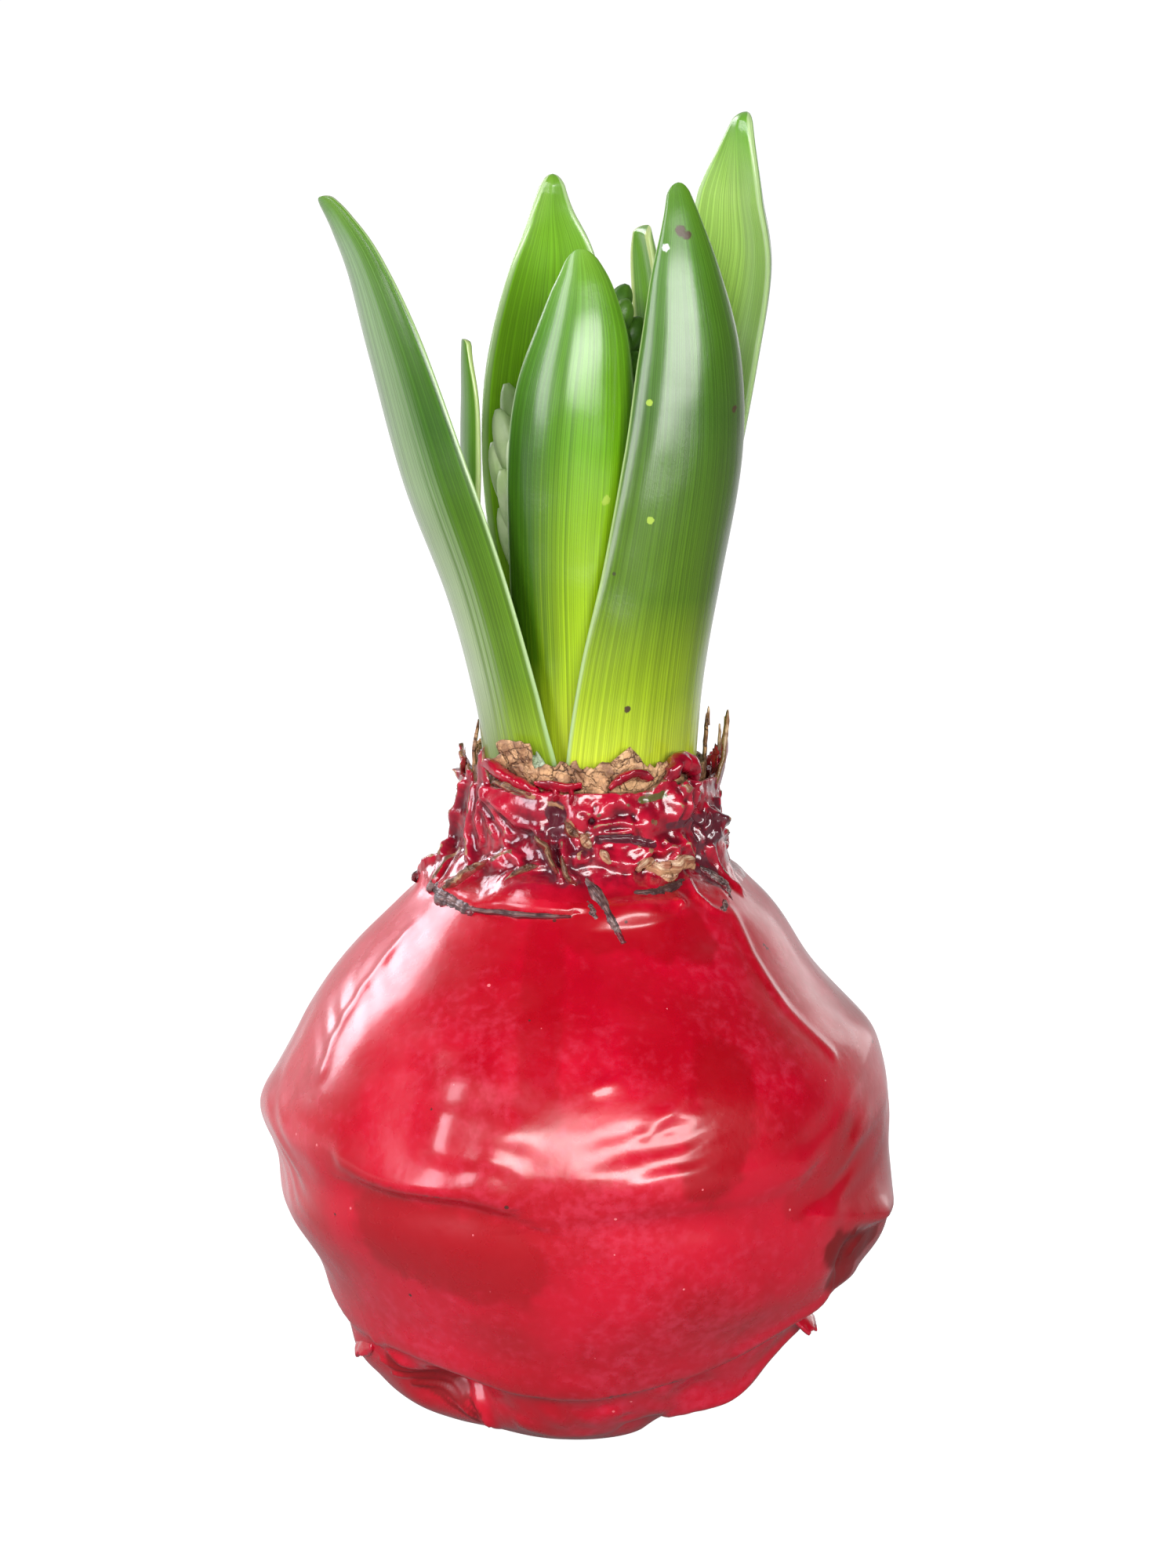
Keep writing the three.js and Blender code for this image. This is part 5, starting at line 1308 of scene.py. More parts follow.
# A node tree, and the nodes that the finishes are put together from
class Tree:
    def __init__(self, tree):
        self.tree = tree
        self.nodes = tree.nodes

    def add(self, kind, **settings):
        node = self.nodes.new("ShaderNode" + kind)
        for label, value in settings.items():
            setattr(node, label, value)
        return node

    def feed(self, socket, value):
        if isinstance(value, bpy.types.NodeSocket):
            self.tree.links.new(value, socket)
        elif isinstance(value, tuple) and len(value) == 3 and len(socket.default_value) == 4:
            socket.default_value = (*value, 1.0)
        else:
            socket.default_value = value

    def give(self, node, values):
        for label, value in values.items():
            self.feed(node.inputs[label], value)

    def place(self, kind="Object"):
        return self.add("TexCoord").outputs[kind]

    def blade(self):
        return self.add("UVMap", uv_map="blade").outputs["UV"]

    def split(self, vector):
        node = self.add("SeparateXYZ")
        self.feed(node.inputs[0], vector)
        return node.outputs

    def split_colour(self, colour):
        node = self.add("SeparateColor")
        self.feed(node.inputs[0], colour)
        return node.outputs

    def marks(self, name):
        return self.split_colour(self.add("VertexColor", layer_name=name).outputs["Color"])

    def ramp(self, factor, stops):
        node = self.add("ValToRGB")
        elements = node.color_ramp.elements
        while len(elements) < len(stops):
            elements.new(0.5)
        for element, (place, colour) in zip(elements, stops):
            element.position = place
            element.color = (*colour, 1.0)
        self.feed(node.inputs["Fac"], factor)
        return node.outputs["Color"]

    def noise_node(self, place, scale, detail=4.0, roughness=0.55):
        node = self.add("TexNoise")
        self.give(node, {"Vector": place, "Scale": scale, "Detail": detail, "Roughness": roughness})
        return node

    def noise(self, place, scale, detail=4.0):
        return self.noise_node(place, scale, detail).outputs["Fac"]

    def mix(self, factor, first, second, mode="MIX"):
        node = self.add("Mix", data_type="RGBA", blend_type=mode)
        for socket, value in ((node.inputs[0], factor), (node.inputs[6], first), (node.inputs[7], second)):
            self.feed(socket, value)
        return node.outputs[2]

    def maths(self, operation, *values):
        node = self.add("Math", operation=operation)
        for socket, value in zip(node.inputs, values):
            self.feed(socket, value)
        return node.outputs[0]

    def times(self, first, second):
        return self.maths("MULTIPLY", first, second)

    # A value times a share, and a start added to it
    def scaled(self, value, share, start):
        return self.maths("MULTIPLY_ADD", value, share, start)

    def vectors(self, operation, first, second):
        node = self.add("VectorMath", operation=operation)
        self.feed(node.inputs[0], first)
        self.feed(node.inputs["Scale" if operation == "SCALE" else 1], second)
        return node.outputs

    # A value carried smoothly from one range to another
    def carry(self, value, low, high, to_low=0.0, to_high=1.0):
        node = self.add("MapRange", interpolation_type="SMOOTHSTEP")
        self.give(node, {
            "Value": value, "From Min": low, "From Max": high, "To Min": to_low, "To Max": to_high})
        return node.outputs["Result"]

    def bump(self, height, strength, distance, normal=None):
        node = self.add("Bump")
        self.give(node, {"Strength": strength, "Distance": distance, "Height": height})
        if normal is not None:
            self.feed(node.inputs["Normal"], normal)
        return node.outputs["Normal"]

    def group(self, name, **values):
        node = self.add("Group", node_tree=GROUPS[name])
        self.give(node, values)
        return node.outputs

    def cloudy(self, place, scale, dark, light):
        return self.group("cloudy tone", Place=place, Scale=scale, Dark=dark, Light=light)["Color"]

    def grain(self, place, fine, broad):
        return self.group("uneven grain", Place=place, Fine=fine, Broad=broad)["Height"]

    def specks(self, place, scale, size, share):
        return self.group("specks", Place=place, Scale=scale, Size=size, Share=share)["Mask"]


def new_finish(name):
    material = bpy.data.materials.new(name)
    material.use_nodes = True
    tree = Tree(material.node_tree)
    return material, tree, tree.nodes["Principled BSDF"]


# Node groups: effects that several finishes share. A group's inputs are kinds of socket, or the number
# that a number starts from.

GROUPS = {}


def start_group(name, inputs, outputs):
    group = bpy.data.node_groups.new(name, "ShaderNodeTree")
    for label, start in inputs.items():
        kind = start if isinstance(start, str) else NUMBER
        socket = group.interface.new_socket(name=label, in_out="INPUT", socket_type=kind)
        if kind == NUMBER:
            socket.default_value = start
    for label, kind in outputs.items():
        group.interface.new_socket(name=label, in_out="OUTPUT", socket_type=kind)
    GROUPS[name] = group
    given = group.nodes.new("NodeGroupInput").outputs
    return Tree(group), given, group.nodes.new("NodeGroupOutput")


# Two tones of a colour that drift into each other like cloud in the wax
def build_cloudy_tone():
    tree, given, asked = start_group(
        "cloudy tone", {"Place": VECTOR, "Scale": 100.0, "Dark": COLOUR, "Light": COLOUR},
        {"Color": COLOUR, "Mask": NUMBER})
    mask = tree.carry(tree.noise(given["Place"], given["Scale"]), low=0.36, high=0.64)
    tree.give(asked, {"Color": tree.mix(mask, given["Dark"], given["Light"]), "Mask": mask})


# Fine uneven grain over broader unevenness
def build_uneven_grain():
    tree, given, asked = start_group(
        "uneven grain", {"Place": VECTOR, "Fine": 900.0, "Broad": 250.0}, {"Height": NUMBER})
    fine = tree.noise(given["Place"], given["Fine"], detail=5.0)
    broad = tree.noise(given["Place"], given["Broad"], detail=2.0)
    tree.give(asked, {"Height": tree.scaled(broad, 0.6, tree.times(fine, 0.4))})


# Scattered specks: one in each cell of a net, shown in a share of the cells
def build_specks():
    tree, given, asked = start_group(
        "specks", {"Place": VECTOR, "Scale": 500.0, "Size": 0.1, "Share": 0.2}, {"Mask": NUMBER})
    cells = tree.add("TexVoronoi")
    tree.give(cells, {"Vector": given["Place"], "Scale": given["Scale"]})
    chance = tree.split_colour(cells.outputs["Color"])
    shown = tree.maths("LESS_THAN", chance[0], given["Share"])
    near = tree.maths("LESS_THAN", cells.outputs["Distance"], tree.times(given["Size"], chance[1]))
    tree.give(asked, {"Mask": tree.times(shown, near)})


# Dark cracks and fibres of dry skin: the net of cell borders, bent by noise
def build_dry_cracks():
    tree, given, asked = start_group(
        "dry cracks", {"Place": VECTOR, "Scale": 900.0, "Width": 0.12, "Bend": 0.0006},
        {"Mask": NUMBER, "Height": NUMBER})
    drift = tree.noise_node(given["Place"], scale=700.0, detail=3.0, roughness=0.5).outputs["Color"]
    bent = tree.vectors("ADD", given["Place"], tree.vectors("SCALE", drift, given["Bend"])[0])[0]
    net = tree.add("TexVoronoi", feature="DISTANCE_TO_EDGE")
    tree.give(net, {"Vector": bent, "Scale": given["Scale"]})
    away = tree.carry(net.outputs["Distance"], 0.0, given["Width"])
    tree.give(asked, {"Mask": tree.maths("SUBTRACT", 1.0, away), "Height": away})


# Veins that run along a blade or fibres along a ribbon: fine ones over broad ones
def build_long_veins():
    tree, given, asked = start_group(
        "long veins", {"Blade": VECTOR, "Fine": 70.0, "Broad": 16.0, "Along": 2.0},
        {"Mask": NUMBER, "Height": NUMBER})
    parts = tree.split(given["Blade"])
    heights = []
    for label in ("Fine", "Broad"):
        stretched = tree.add("CombineXYZ")
        tree.give(stretched, {
            "X": tree.times(parts["X"], given[label]), "Y": tree.times(parts["Y"], given["Along"])})
        heights.append(tree.noise(stretched.outputs[0], scale=1.0, detail=2.0))
    both = tree.scaled(heights[0], 0.7, tree.times(heights[1], 0.3))
    tree.give(asked, {"Mask": tree.carry(both, low=0.34, high=0.66), "Height": both})


# One ragged spot about a centre
def build_ragged_spot():
    tree, given, asked = start_group(
        "ragged spot", {"Place": VECTOR, "Centre": VECTOR, "Size": 0.001}, {"Mask": NUMBER})
    away = tree.vectors("DISTANCE", given["Place"], given["Centre"])["Value"]
    ragged = tree.noise(given["Place"], scale=1500.0)
    share = tree.maths("ADD", tree.maths("DIVIDE", away, given["Size"]), tree.times(ragged, 1.2))
    tree.give(asked, {"Mask": tree.carry(share, low=1.45, high=1.15)})


# The torn edge of a flake and its tip
def build_torn_edge():
    tree, given, asked = start_group(
        "torn edge", {"Blade": VECTOR, "Place": VECTOR, "Width": 0.1, "Start": 0.7},
        {"Edge": NUMBER, "Tip": NUMBER})
    parts = tree.split(given["Blade"])
    side = tree.maths("PINGPONG", parts["X"], 0.5)
    near = tree.maths("MINIMUM", side, tree.maths("SUBTRACT", 1.0, parts["Y"]))
    ragged = tree.noise(given["Place"], scale=900.0)
    shifted = tree.scaled(ragged, given["Width"], tree.times(near, -1.0))
    wavering = tree.scaled(ragged, 0.2, tree.maths("SUBTRACT", parts["Y"], 0.1))
    tree.give(asked, {
        "Edge": tree.carry(shifted, low=0.0, high=0.04),
        "Tip": tree.carry(wavering, given["Start"], high=0.92)})


build_cloudy_tone()
build_uneven_grain()
build_specks()
build_dry_cracks()
build_long_veins()
build_ragged_spot()
build_torn_edge()


# Red wax of the body: cloudy red, with pale and dark specks, and painted shade in its crevices, in the hollow
# and pocket, and in deeper red patches

WAX_DEEP = (0.43, 0.0004, 0.010)
WAX_CLEAR = (0.56, 0.0010, 0.020)
WAX_BLOOM = (0.66, 0.045, 0.095)
# Painted shade: deeper red where the wax mirrors only the dim room, and under the collar
WAX_PAINTED_DEEP_SHADE = (0.36, 0.0002, 0.006)
# Painted shade in the hollow and the pocket
WAX_PAINTED_HOLLOW_SHADE = (0.22, 0.0001, 0.002)
# Painted shade: the colour that the wax is darkened to in its crevices
WAX_PAINTED_CREVICE_SHADE = (0.36, 0.0005, 0.010)
WAX_DIRT = (0.10, 0.018, 0.015)
WAX_PALE_SPECK = (0.80, 0.18, 0.20)
WAX_SMOOTH = 0.23
WAX_ROUGH = 0.36
WAX_COAT = 0.40
WAX_CREVICE_SHADE_SHARE = 0.14
WAX_BLOOM_SHARE = 0.42
WAX_ROUGHER_IN_HOLLOW = 0.2


def red_wax():
    material, tree, shader = new_finish("red_wax")
    place = tree.place()
    marks = tree.marks("marks")
    relief = tree.marks("relief")
    colour = tree.cloudy(place, 70.0, WAX_DEEP, WAX_CLEAR)
    # Painted shade: the wax is darkened where the relief marks a crevice
    colour = tree.mix(tree.times(relief["Red"], WAX_CREVICE_SHADE_SHARE), colour, WAX_PAINTED_CREVICE_SHADE)
    bloom = tree.times(tree.noise(place, scale=46.0), tree.noise(place, scale=900.0, detail=8.0))
    colour = tree.mix(tree.carry(bloom, 0.22, 0.44, to_high=WAX_BLOOM_SHARE), colour, WAX_BLOOM)
    # Painted shade: deeper red patches where the wax mirrors only the dim room, and under the collar
    colour = tree.mix(marks["Blue"], colour, WAX_PAINTED_DEEP_SHADE)
    # Painted shade: darkened in the hollow, at its foot, in the pocket and along its grooves
    colour = tree.mix(marks["Green"], colour, WAX_PAINTED_HOLLOW_SHADE)
    colour = tree.mix(tree.specks(place, scale=520.0, size=0.10, share=0.20), colour, WAX_PALE_SPECK)
    colour = tree.mix(tree.specks(place, scale=380.0, size=0.10, share=0.14), colour, WAX_DIRT)
    dirt = tree.carry(tree.times(marks["Red"], tree.noise(place, scale=1500.0)), 0.28, 0.46)
    rough = tree.carry(tree.noise(place, scale=220.0), 0.3, 0.7, WAX_SMOOTH, WAX_ROUGH)
    tree.give(shader, {
        "Base Color": tree.mix(dirt, colour, WAX_DIRT),
        "Normal": tree.bump(tree.grain(place, fine=1100.0, broad=300.0), strength=0.10, distance=0.0006),
        "Roughness": tree.scaled(marks["Green"], WAX_ROUGHER_IN_HOLLOW, rough),
        "Coat Weight": tree.scaled(marks["Green"], -WAX_COAT, WAX_COAT),
        "Coat Roughness": 0.14,
        "Subsurface Weight": 0.10,
        "Subsurface Radius": (1.0, 0.15, 0.10),
        "Subsurface Scale": 0.002,
    })
    return material


# Wax of the collar: darker and glossier, with dark purple-red painted shade in its crevices, painted
# highlights on its crests, purple lumps and dark scraps with purple painted shade in its hole, folds and
# under its lumps, and dry brown edges and green scale showing through. Towards its foot it is the body's red.

COLLAR_DEEP = (0.20, 0.0020, 0.014)
COLLAR_CLEAR = (0.44, 0.0030, 0.022)
# Painted shade: the colour that the collar is darkened to in its crevices
COLLAR_PAINTED_CREVICE_SHADE = (0.070, 0.0040, 0.010)
# Painted highlight: the brighter, pinker colour of the collar's crests
COLLAR_PAINTED_CREST_HIGHLIGHT = (0.55, 0.020, 0.055)
# Purple of the lumps and dark scraps, also used as painted shade
COLLAR_PURPLE_AND_SHADE = (0.100, 0.016, 0.026)
COLLAR_DRY_DARK = (0.12, 0.040, 0.018)
COLLAR_DRY = (0.38, 0.19, 0.09)
COLLAR_GREEN = (0.10, 0.085, 0.020)
COLLAR_FOOT = (0.0625, 0.0660)
COLLAR_CREST_HIGHLIGHT_SHARE = 0.45
COLLAR_SMOOTH = 0.19
COLLAR_ROUGH = 0.50
FINE_CRACKS = 2.6
COARSE_CRACK_SHADE = 0.60
FINE_CRACK_SHADE = 0.45


def collar_finish():
    material, tree, shader = new_finish("collar_wax")
    place = tree.place()
    marks = tree.marks("marks")
    relief = tree.marks("relief")
    upper = tree.carry(tree.split(place)["Z"], *COLLAR_FOOT)
    colour = tree.mix(upper, WAX_DEEP, tree.cloudy(place, 300.0, COLLAR_DEEP, COLLAR_CLEAR))
    # Painted highlight: the collar is lightened where the relief marks a crest
    colour = tree.mix(tree.times(relief["Green"], COLLAR_CREST_HIGHLIGHT_SHARE), colour, COLLAR_PAINTED_CREST_HIGHLIGHT)
    # Painted shade: the collar is darkened where the relief marks a crevice
    colour = tree.mix(relief["Red"], colour, COLLAR_PAINTED_CREVICE_SHADE)
    ragged = tree.noise(place, scale=1000.0)
    # Purple of the purple lumps and dark scraps, and painted shade in the hole, the folds and under the lumps
    purple = tree.carry(tree.times(marks["Green"], ragged), 0.14, 0.44)
    colour = tree.mix(purple, colour, COLLAR_PURPLE_AND_SHADE)
    green = tree.carry(tree.times(marks["Blue"], ragged), 0.22, 0.40)
    colour = tree.mix(green, colour, COLLAR_GREEN)
    torn = tree.carry(tree.times(relief["Green"], tree.noise(place, scale=330.0)), 0.44, 0.56)
    dried = tree.maths("MAXIMUM", tree.times(marks["Red"], ragged), tree.times(torn, upper))
    dry = tree.carry(dried, 0.24, 0.40)
    tree.give(shader, {
        "Base Color": tree.mix(dry, colour, tree.cloudy(place, 700.0, COLLAR_DRY_DARK, COLLAR_DRY)),
        "Normal": tree.bump(tree.grain(place, fine=1500.0, broad=600.0), strength=0.25, distance=0.0006),
        "Roughness": tree.carry(dry, 0.0, 1.0, COLLAR_SMOOTH, COLLAR_ROUGH),
        "Coat Weight": 0.65,
        "Coat Roughness": 0.10,
    })
    return material


# Papery tunic: light brown skin with a net of dark cracks
def tunic_finish(name, dark, light, crack, scale):
    material, tree, shader = new_finish(name)
    place = tree.place()
    cracks = tree.group("dry cracks", Place=place, Scale=scale, Width=0.11, Bend=0.0022)
    fine = tree.group("dry cracks", Place=place, Scale=scale * FINE_CRACKS, Width=0.16, Bend=0.0010)
    where = tree.carry(tree.noise(place, scale=330.0), 0.40, 0.60)
    mask = tree.times(tree.times(cracks["Mask"], where), COARSE_CRACK_SHADE)
    mask = tree.carry(tree.scaled(fine["Mask"], FINE_CRACK_SHADE, mask), 0.0, 1.1)
    deep = tree.bump(cracks["Height"], strength=0.6, distance=0.0005)
    tree.give(shader, {
        "Base Color": tree.mix(mask, tree.cloudy(place, 420.0, dark, light), crack),
        "Normal": tree.bump(tree.grain(place, fine=2200.0, broad=800.0), 0.5, 0.0005, deep),
        "Roughness": 0.55,
    })
    return material


# Ribbons of tunic: fibres along the ribbon, dark between light, and a ragged edge in another colour
def ribbon_finish(name, dark, light, edge, edge_width, roughness):
    material, tree, shader = new_finish(name)
    place = tree.place()
    blade = tree.blade()
    fibres = tree.group("long veins", Blade=blade, Fine=7.0, Broad=3.0, Along=5.0)
    torn = tree.group("torn edge", Blade=blade, Place=place, Width=edge_width, Start=0.99)
    colour = tree.mix(fibres["Mask"], dark, tree.cloudy(place, 800.0, dark, light))
    deep = tree.bump(fibres["Height"], strength=0.6, distance=0.0006)
    tree.give(shader, {
        "Base Color": tree.mix(torn["Edge"], colour, edge),
        "Normal": tree.bump(tree.grain(place, fine=2200.0, broad=900.0), 0.4, 0.0005, deep),
        "Roughness": roughness,
        "Coat Weight": 0.2,
        "Coat Roughness": 0.1,
    })
    return material


# The dry curl: glossy dark red that dries out to a cream tip, brown along its edge

CURL_DEEP = (0.16, 0.004, 0.010)
CURL_CLEAR = (0.46, 0.006, 0.022)
CURL_EDGE = (0.20, 0.11, 0.045)
CURL_CREAM_DARK = (0.30, 0.15, 0.07)
CURL_CREAM = (0.80, 0.58, 0.36)


def dry_curl_finish():
    material, tree, shader = new_finish("dry_curl")
    place = tree.place()
    torn = tree.group("torn edge", Blade=tree.blade(), Place=place, Width=0.30, Start=0.56)
    colour = tree.mix(torn["Edge"], tree.cloudy(place, 500.0, CURL_DEEP, CURL_CLEAR), CURL_EDGE)
    tree.give(shader, {
        "Base Color": tree.mix(torn["Tip"], colour, tree.cloudy(place, 900.0, CURL_CREAM_DARK, CURL_CREAM)),
        "Normal": tree.bump(tree.grain(place, fine=1800.0, broad=700.0), strength=0.4, distance=0.0005),
        "Roughness": tree.carry(torn["Tip"], 0.0, 1.0, to_low=0.2, to_high=0.6),
    })
    return material


# Leaves. Each look gives the colours up the blade at its left and right as (share, colour), the shares
# across it between which the left gives way to the right, the margin's colour and width, and roughness.

FRONT_LEAF = dict(
    left=[(0.23, (0.30, 0.40, 0.02)), (0.34, (0.035, 0.10, 0.002)), (0.58, (0.030, 0.105, 0.004)),
          (0.80, (0.08, 0.24, 0.015)), (0.97, (0.16, 0.36, 0.05))],
    right=[(0.23, (0.58, 0.69, 0.020)), (0.32, (0.36, 0.54, 0.006)), (0.44, (0.24, 0.42, 0.004)),
           (0.60, (0.13, 0.34, 0.005)), (0.84, (0.10, 0.27, 0.010)), (0.97, (0.16, 0.35, 0.03))],
    turn=(0.14, 0.66), margin=(0.34, 0.52, 0.20), margin_width=0.016, roughness=0.30)
RIGHT_LEAF = dict(
    left=[(0.23, (0.50, 0.62, 0.035)), (0.31, (0.27, 0.40, 0.008)), (0.42, (0.085, 0.18, 0.005)),
          (0.60, (0.050, 0.135, 0.010)), (0.80, (0.07, 0.20, 0.014)), (0.97, (0.09, 0.23, 0.020))],
    right=[(0.23, (0.52, 0.66, 0.035)), (0.31, (0.25, 0.38, 0.010)), (0.42, (0.070, 0.135, 0.008)),
           (0.60, (0.055, 0.115, 0.016)), (0.80, (0.08, 0.20, 0.016)), (0.97, (0.11, 0.27, 0.018))],
    turn=(0.45, 0.95), margin=(0.40, 0.56, 0.22), margin_width=0.014, roughness=0.30)
# The pale bluish grey on the left of this blade is partly the leaf's own bloom and partly a painted
# reflection of the white light
LEFT_LEAF = dict(
    left=[(0.23, (0.15, 0.24, 0.015)), (0.36, (0.31, 0.42, 0.20)), (0.60, (0.19, 0.30, 0.13)),
          (0.84, (0.19, 0.32, 0.14)), (0.95, (0.11, 0.26, 0.04))],
    right=[(0.23, (0.27, 0.40, 0.020)), (0.36, (0.10, 0.21, 0.004)), (0.60, (0.032, 0.115, 0.002)),
           (0.84, (0.08, 0.21, 0.012)), (0.95, (0.11, 0.25, 0.025))],
    turn=(0.60, 0.80), margin=(0.34, 0.50, 0.20), margin_width=0.014, roughness=0.34)
BACK_LEAF = dict(
    left=[(0.23, (0.44, 0.54, 0.045)), (0.36, (0.20, 0.35, 0.02)), (0.60, (0.09, 0.24, 0.03)),
          (0.97, (0.12, 0.30, 0.03))],
    right=[(0.23, (0.44, 0.54, 0.045)), (0.36, (0.18, 0.33, 0.03)), (0.60, (0.12, 0.25, 0.06)),
           (0.97, (0.12, 0.30, 0.03))],
    turn=(0.3, 0.8), margin=(0.38, 0.54, 0.22), margin_width=0.014, roughness=0.32)
# Painted light: the inner faces of the back leaves are brightened to stand for light shining through them
# from behind
BACK_LEFT_FACE = dict(
    left=[(0.30, (0.36, 0.60, 0.03)), (0.50, (0.24, 0.56, 0.010)), (0.75, (0.17, 0.42, 0.010)),
          (0.95, (0.15, 0.34, 0.03))],
    right=[(0.30, (0.36, 0.60, 0.04)), (0.50, (0.24, 0.52, 0.02)), (0.75, (0.17, 0.40, 0.014)),
           (0.95, (0.17, 0.36, 0.03))],
    turn=(0.5, 0.9), margin=(0.42, 0.60, 0.26), margin_width=0.026, roughness=0.36)
# Painted light: brightened like the back left face, to stand for light shining through the leaf
BACK_RIGHT_FACE = dict(
    left=[(0.30, (0.26, 0.48, 0.04)), (0.55, (0.22, 0.40, 0.08)), (0.78, (0.26, 0.48, 0.08)),
          (0.95, (0.13, 0.34, 0.03))],
    right=[(0.30, (0.26, 0.48, 0.04)), (0.55, (0.26, 0.46, 0.06)), (0.78, (0.30, 0.50, 0.10)),
           (0.95, (0.13, 0.34, 0.02))],
    turn=(0.2, 0.6), margin=(0.40, 0.58, 0.24), margin_width=0.024, roughness=0.36)
SMALL_LEAF = dict(
    left=[(0.30, (0.24, 0.42, 0.10)), (0.60, (0.20, 0.38, 0.12)), (0.95, (0.22, 0.40, 0.12))],
    right=[(0.30, (0.24, 0.42, 0.05)), (0.60, (0.16, 0.38, 0.04)), (0.95, (0.16, 0.38, 0.03))],
    turn=(0.3, 0.8), margin=(0.60, 0.76, 0.30), margin_width=0.05, roughness=0.36)
SMALL_LEAF_FACE = dict(
    left=[(0.30, (0.20, 0.38, 0.03)), (0.60, (0.13, 0.32, 0.02)), (0.95, (0.13, 0.32, 0.03))],
    right=[(0.30, (0.20, 0.38, 0.03)), (0.60, (0.13, 0.32, 0.02)), (0.95, (0.13, 0.32, 0.03))],
    turn=(0.3, 0.8), margin=(0.50, 0.62, 0.22), margin_width=0.05, roughness=0.36)
VEIN_SHADE_LOW = 0.78
VEIN_SHADE_HIGH = 1.22
LEAF_SPECK = (0.05, 0.06, 0.02)
BROWN_SCAR = (0.07, 0.045, 0.018)
WHITE_FLECK = (0.80, 0.86, 0.80)
YELLOW_BLEMISH = (0.34, 0.50, 0.05)
# Blemishes: the leaf's look, place in metres, size and colour
LEAF_SPOTS = {
    "scar": ("right_leaf", (0.0113, -0.0093, 0.1356), 0.0009, BROWN_SCAR),
    "scar's end": ("right_leaf", (0.0119, -0.0092, 0.1352), 0.0007, BROWN_SCAR),
    "fleck": ("right_leaf", (0.0096, -0.0097, 0.1339), 0.0006, WHITE_FLECK),
    "brown spot": ("right_leaf", (0.0172, -0.0084, 0.1161), 0.0006, BROWN_SCAR),
    "first blemish": ("right_leaf", (0.0079, -0.0117, 0.1172), 0.0005, YELLOW_BLEMISH),
    "second blemish": ("right_leaf", (0.0080, -0.0129, 0.1045), 0.0005, YELLOW_BLEMISH),
    "pale blemish": ("front_leaf", (0.0032, -0.0108, 0.1064), 0.0007, YELLOW_BLEMISH),
    "low blemish": ("right_leaf", (0.0055, -0.0121, 0.0835), 0.0005, BROWN_SCAR),
}
LEAF_LOOKS = {
    "front_leaf": FRONT_LEAF,
    "right_leaf": RIGHT_LEAF,
    "left_leaf": LEFT_LEAF,
    "back_leaf": BACK_LEAF,
    "back_left_face": BACK_LEFT_FACE,
    "back_right_face": BACK_RIGHT_FACE,
    "small_leaf": SMALL_LEAF,
    "small_leaf_face": SMALL_LEAF_FACE,
}
# The look of each leaf's outer and inner face
LEAF_FACES = {
    "leaf_left": ("left_leaf", "small_leaf_face"),
    "leaf_right": ("right_leaf", "small_leaf_face"),
    "leaf_front": ("front_leaf", "small_leaf_face"),
    "leaf_back_left": ("back_leaf", "back_left_face"),
    "leaf_back_right": ("back_leaf", "back_right_face"),
    "leaf_inner_right": ("small_leaf", "small_leaf_face"),
    "leaf_inner_left": ("small_leaf", "small_leaf_face"),
}


def leaf_finish(name, look):
    material, tree, shader = new_finish(name)
    place = tree.place()
    blade = tree.blade()
    parts = tree.split(blade)
    veins = tree.group("long veins", Blade=blade, Fine=130.0, Broad=50.0, Along=0.8)
    drift = tree.group("long veins", Blade=blade, Fine=40.0, Broad=10.0, Along=1.6)
    streaked = tree.scaled(drift["Height"], 0.5, tree.maths("ADD", parts["X"], -0.25))
    left = tree.ramp(parts["Y"], look["left"])
    right = tree.ramp(parts["Y"], look["right"])
    colour = tree.mix(tree.carry(streaked, *look["turn"]), left, right)
    shade = tree.carry(veins["Mask"], 0.0, 1.0, VEIN_SHADE_LOW, VEIN_SHADE_HIGH)
    colour = tree.mix(1.0, colour, shade, "MULTIPLY")
    side = tree.maths("PINGPONG", parts["X"], 0.5)
    margin = tree.carry(side, look["margin_width"] * 2, look["margin_width"] * 0.6)
    colour = tree.mix(margin, colour, look["margin"])
    for where, centre, size, stain in LEAF_SPOTS.values():
        if where == name:
            spot = tree.group("ragged spot", Place=place, Centre=centre, Size=size)
            colour = tree.mix(spot["Mask"], colour, stain)
    waves = tree.bump(tree.noise(place, scale=110.0, detail=1.0), strength=0.8, distance=0.0012)
    ribs = tree.bump(veins["Height"], 0.14, 0.0003, waves)
    tree.give(shader, {
        "Base Color": tree.mix(tree.specks(place, scale=260.0, size=0.08, share=0.06), colour, LEAF_SPECK),
        "Normal": tree.bump(tree.grain(place, fine=2500.0, broad=500.0), 0.12, 0.0005, ribs),
        "Roughness": look["roughness"],
        "Specular IOR Level": 0.22,
        "Coat Weight": 0.75,
        "Coat Roughness": 0.19,
        "Subsurface Weight": 0.08,
        "Subsurface Radius": (0.6, 1.0, 0.2),
        "Subsurface Scale": 0.001,
    })
    return material


# Closed buds: pale green low on the left of the spike, dark green on its right and at its top. The pale green
# on the left is brightened beyond the buds' own colour as painted light

BUD_PALE_DEEP_AND_PAINTED_LIGHT = (0.66, 0.84, 0.42)
BUD_PALE_AND_PAINTED_LIGHT = (0.86, 0.97, 0.64)
BUD_DARK_DEEP = (0.05, 0.15, 0.010)
BUD_DARK = (0.12, 0.28, 0.03)


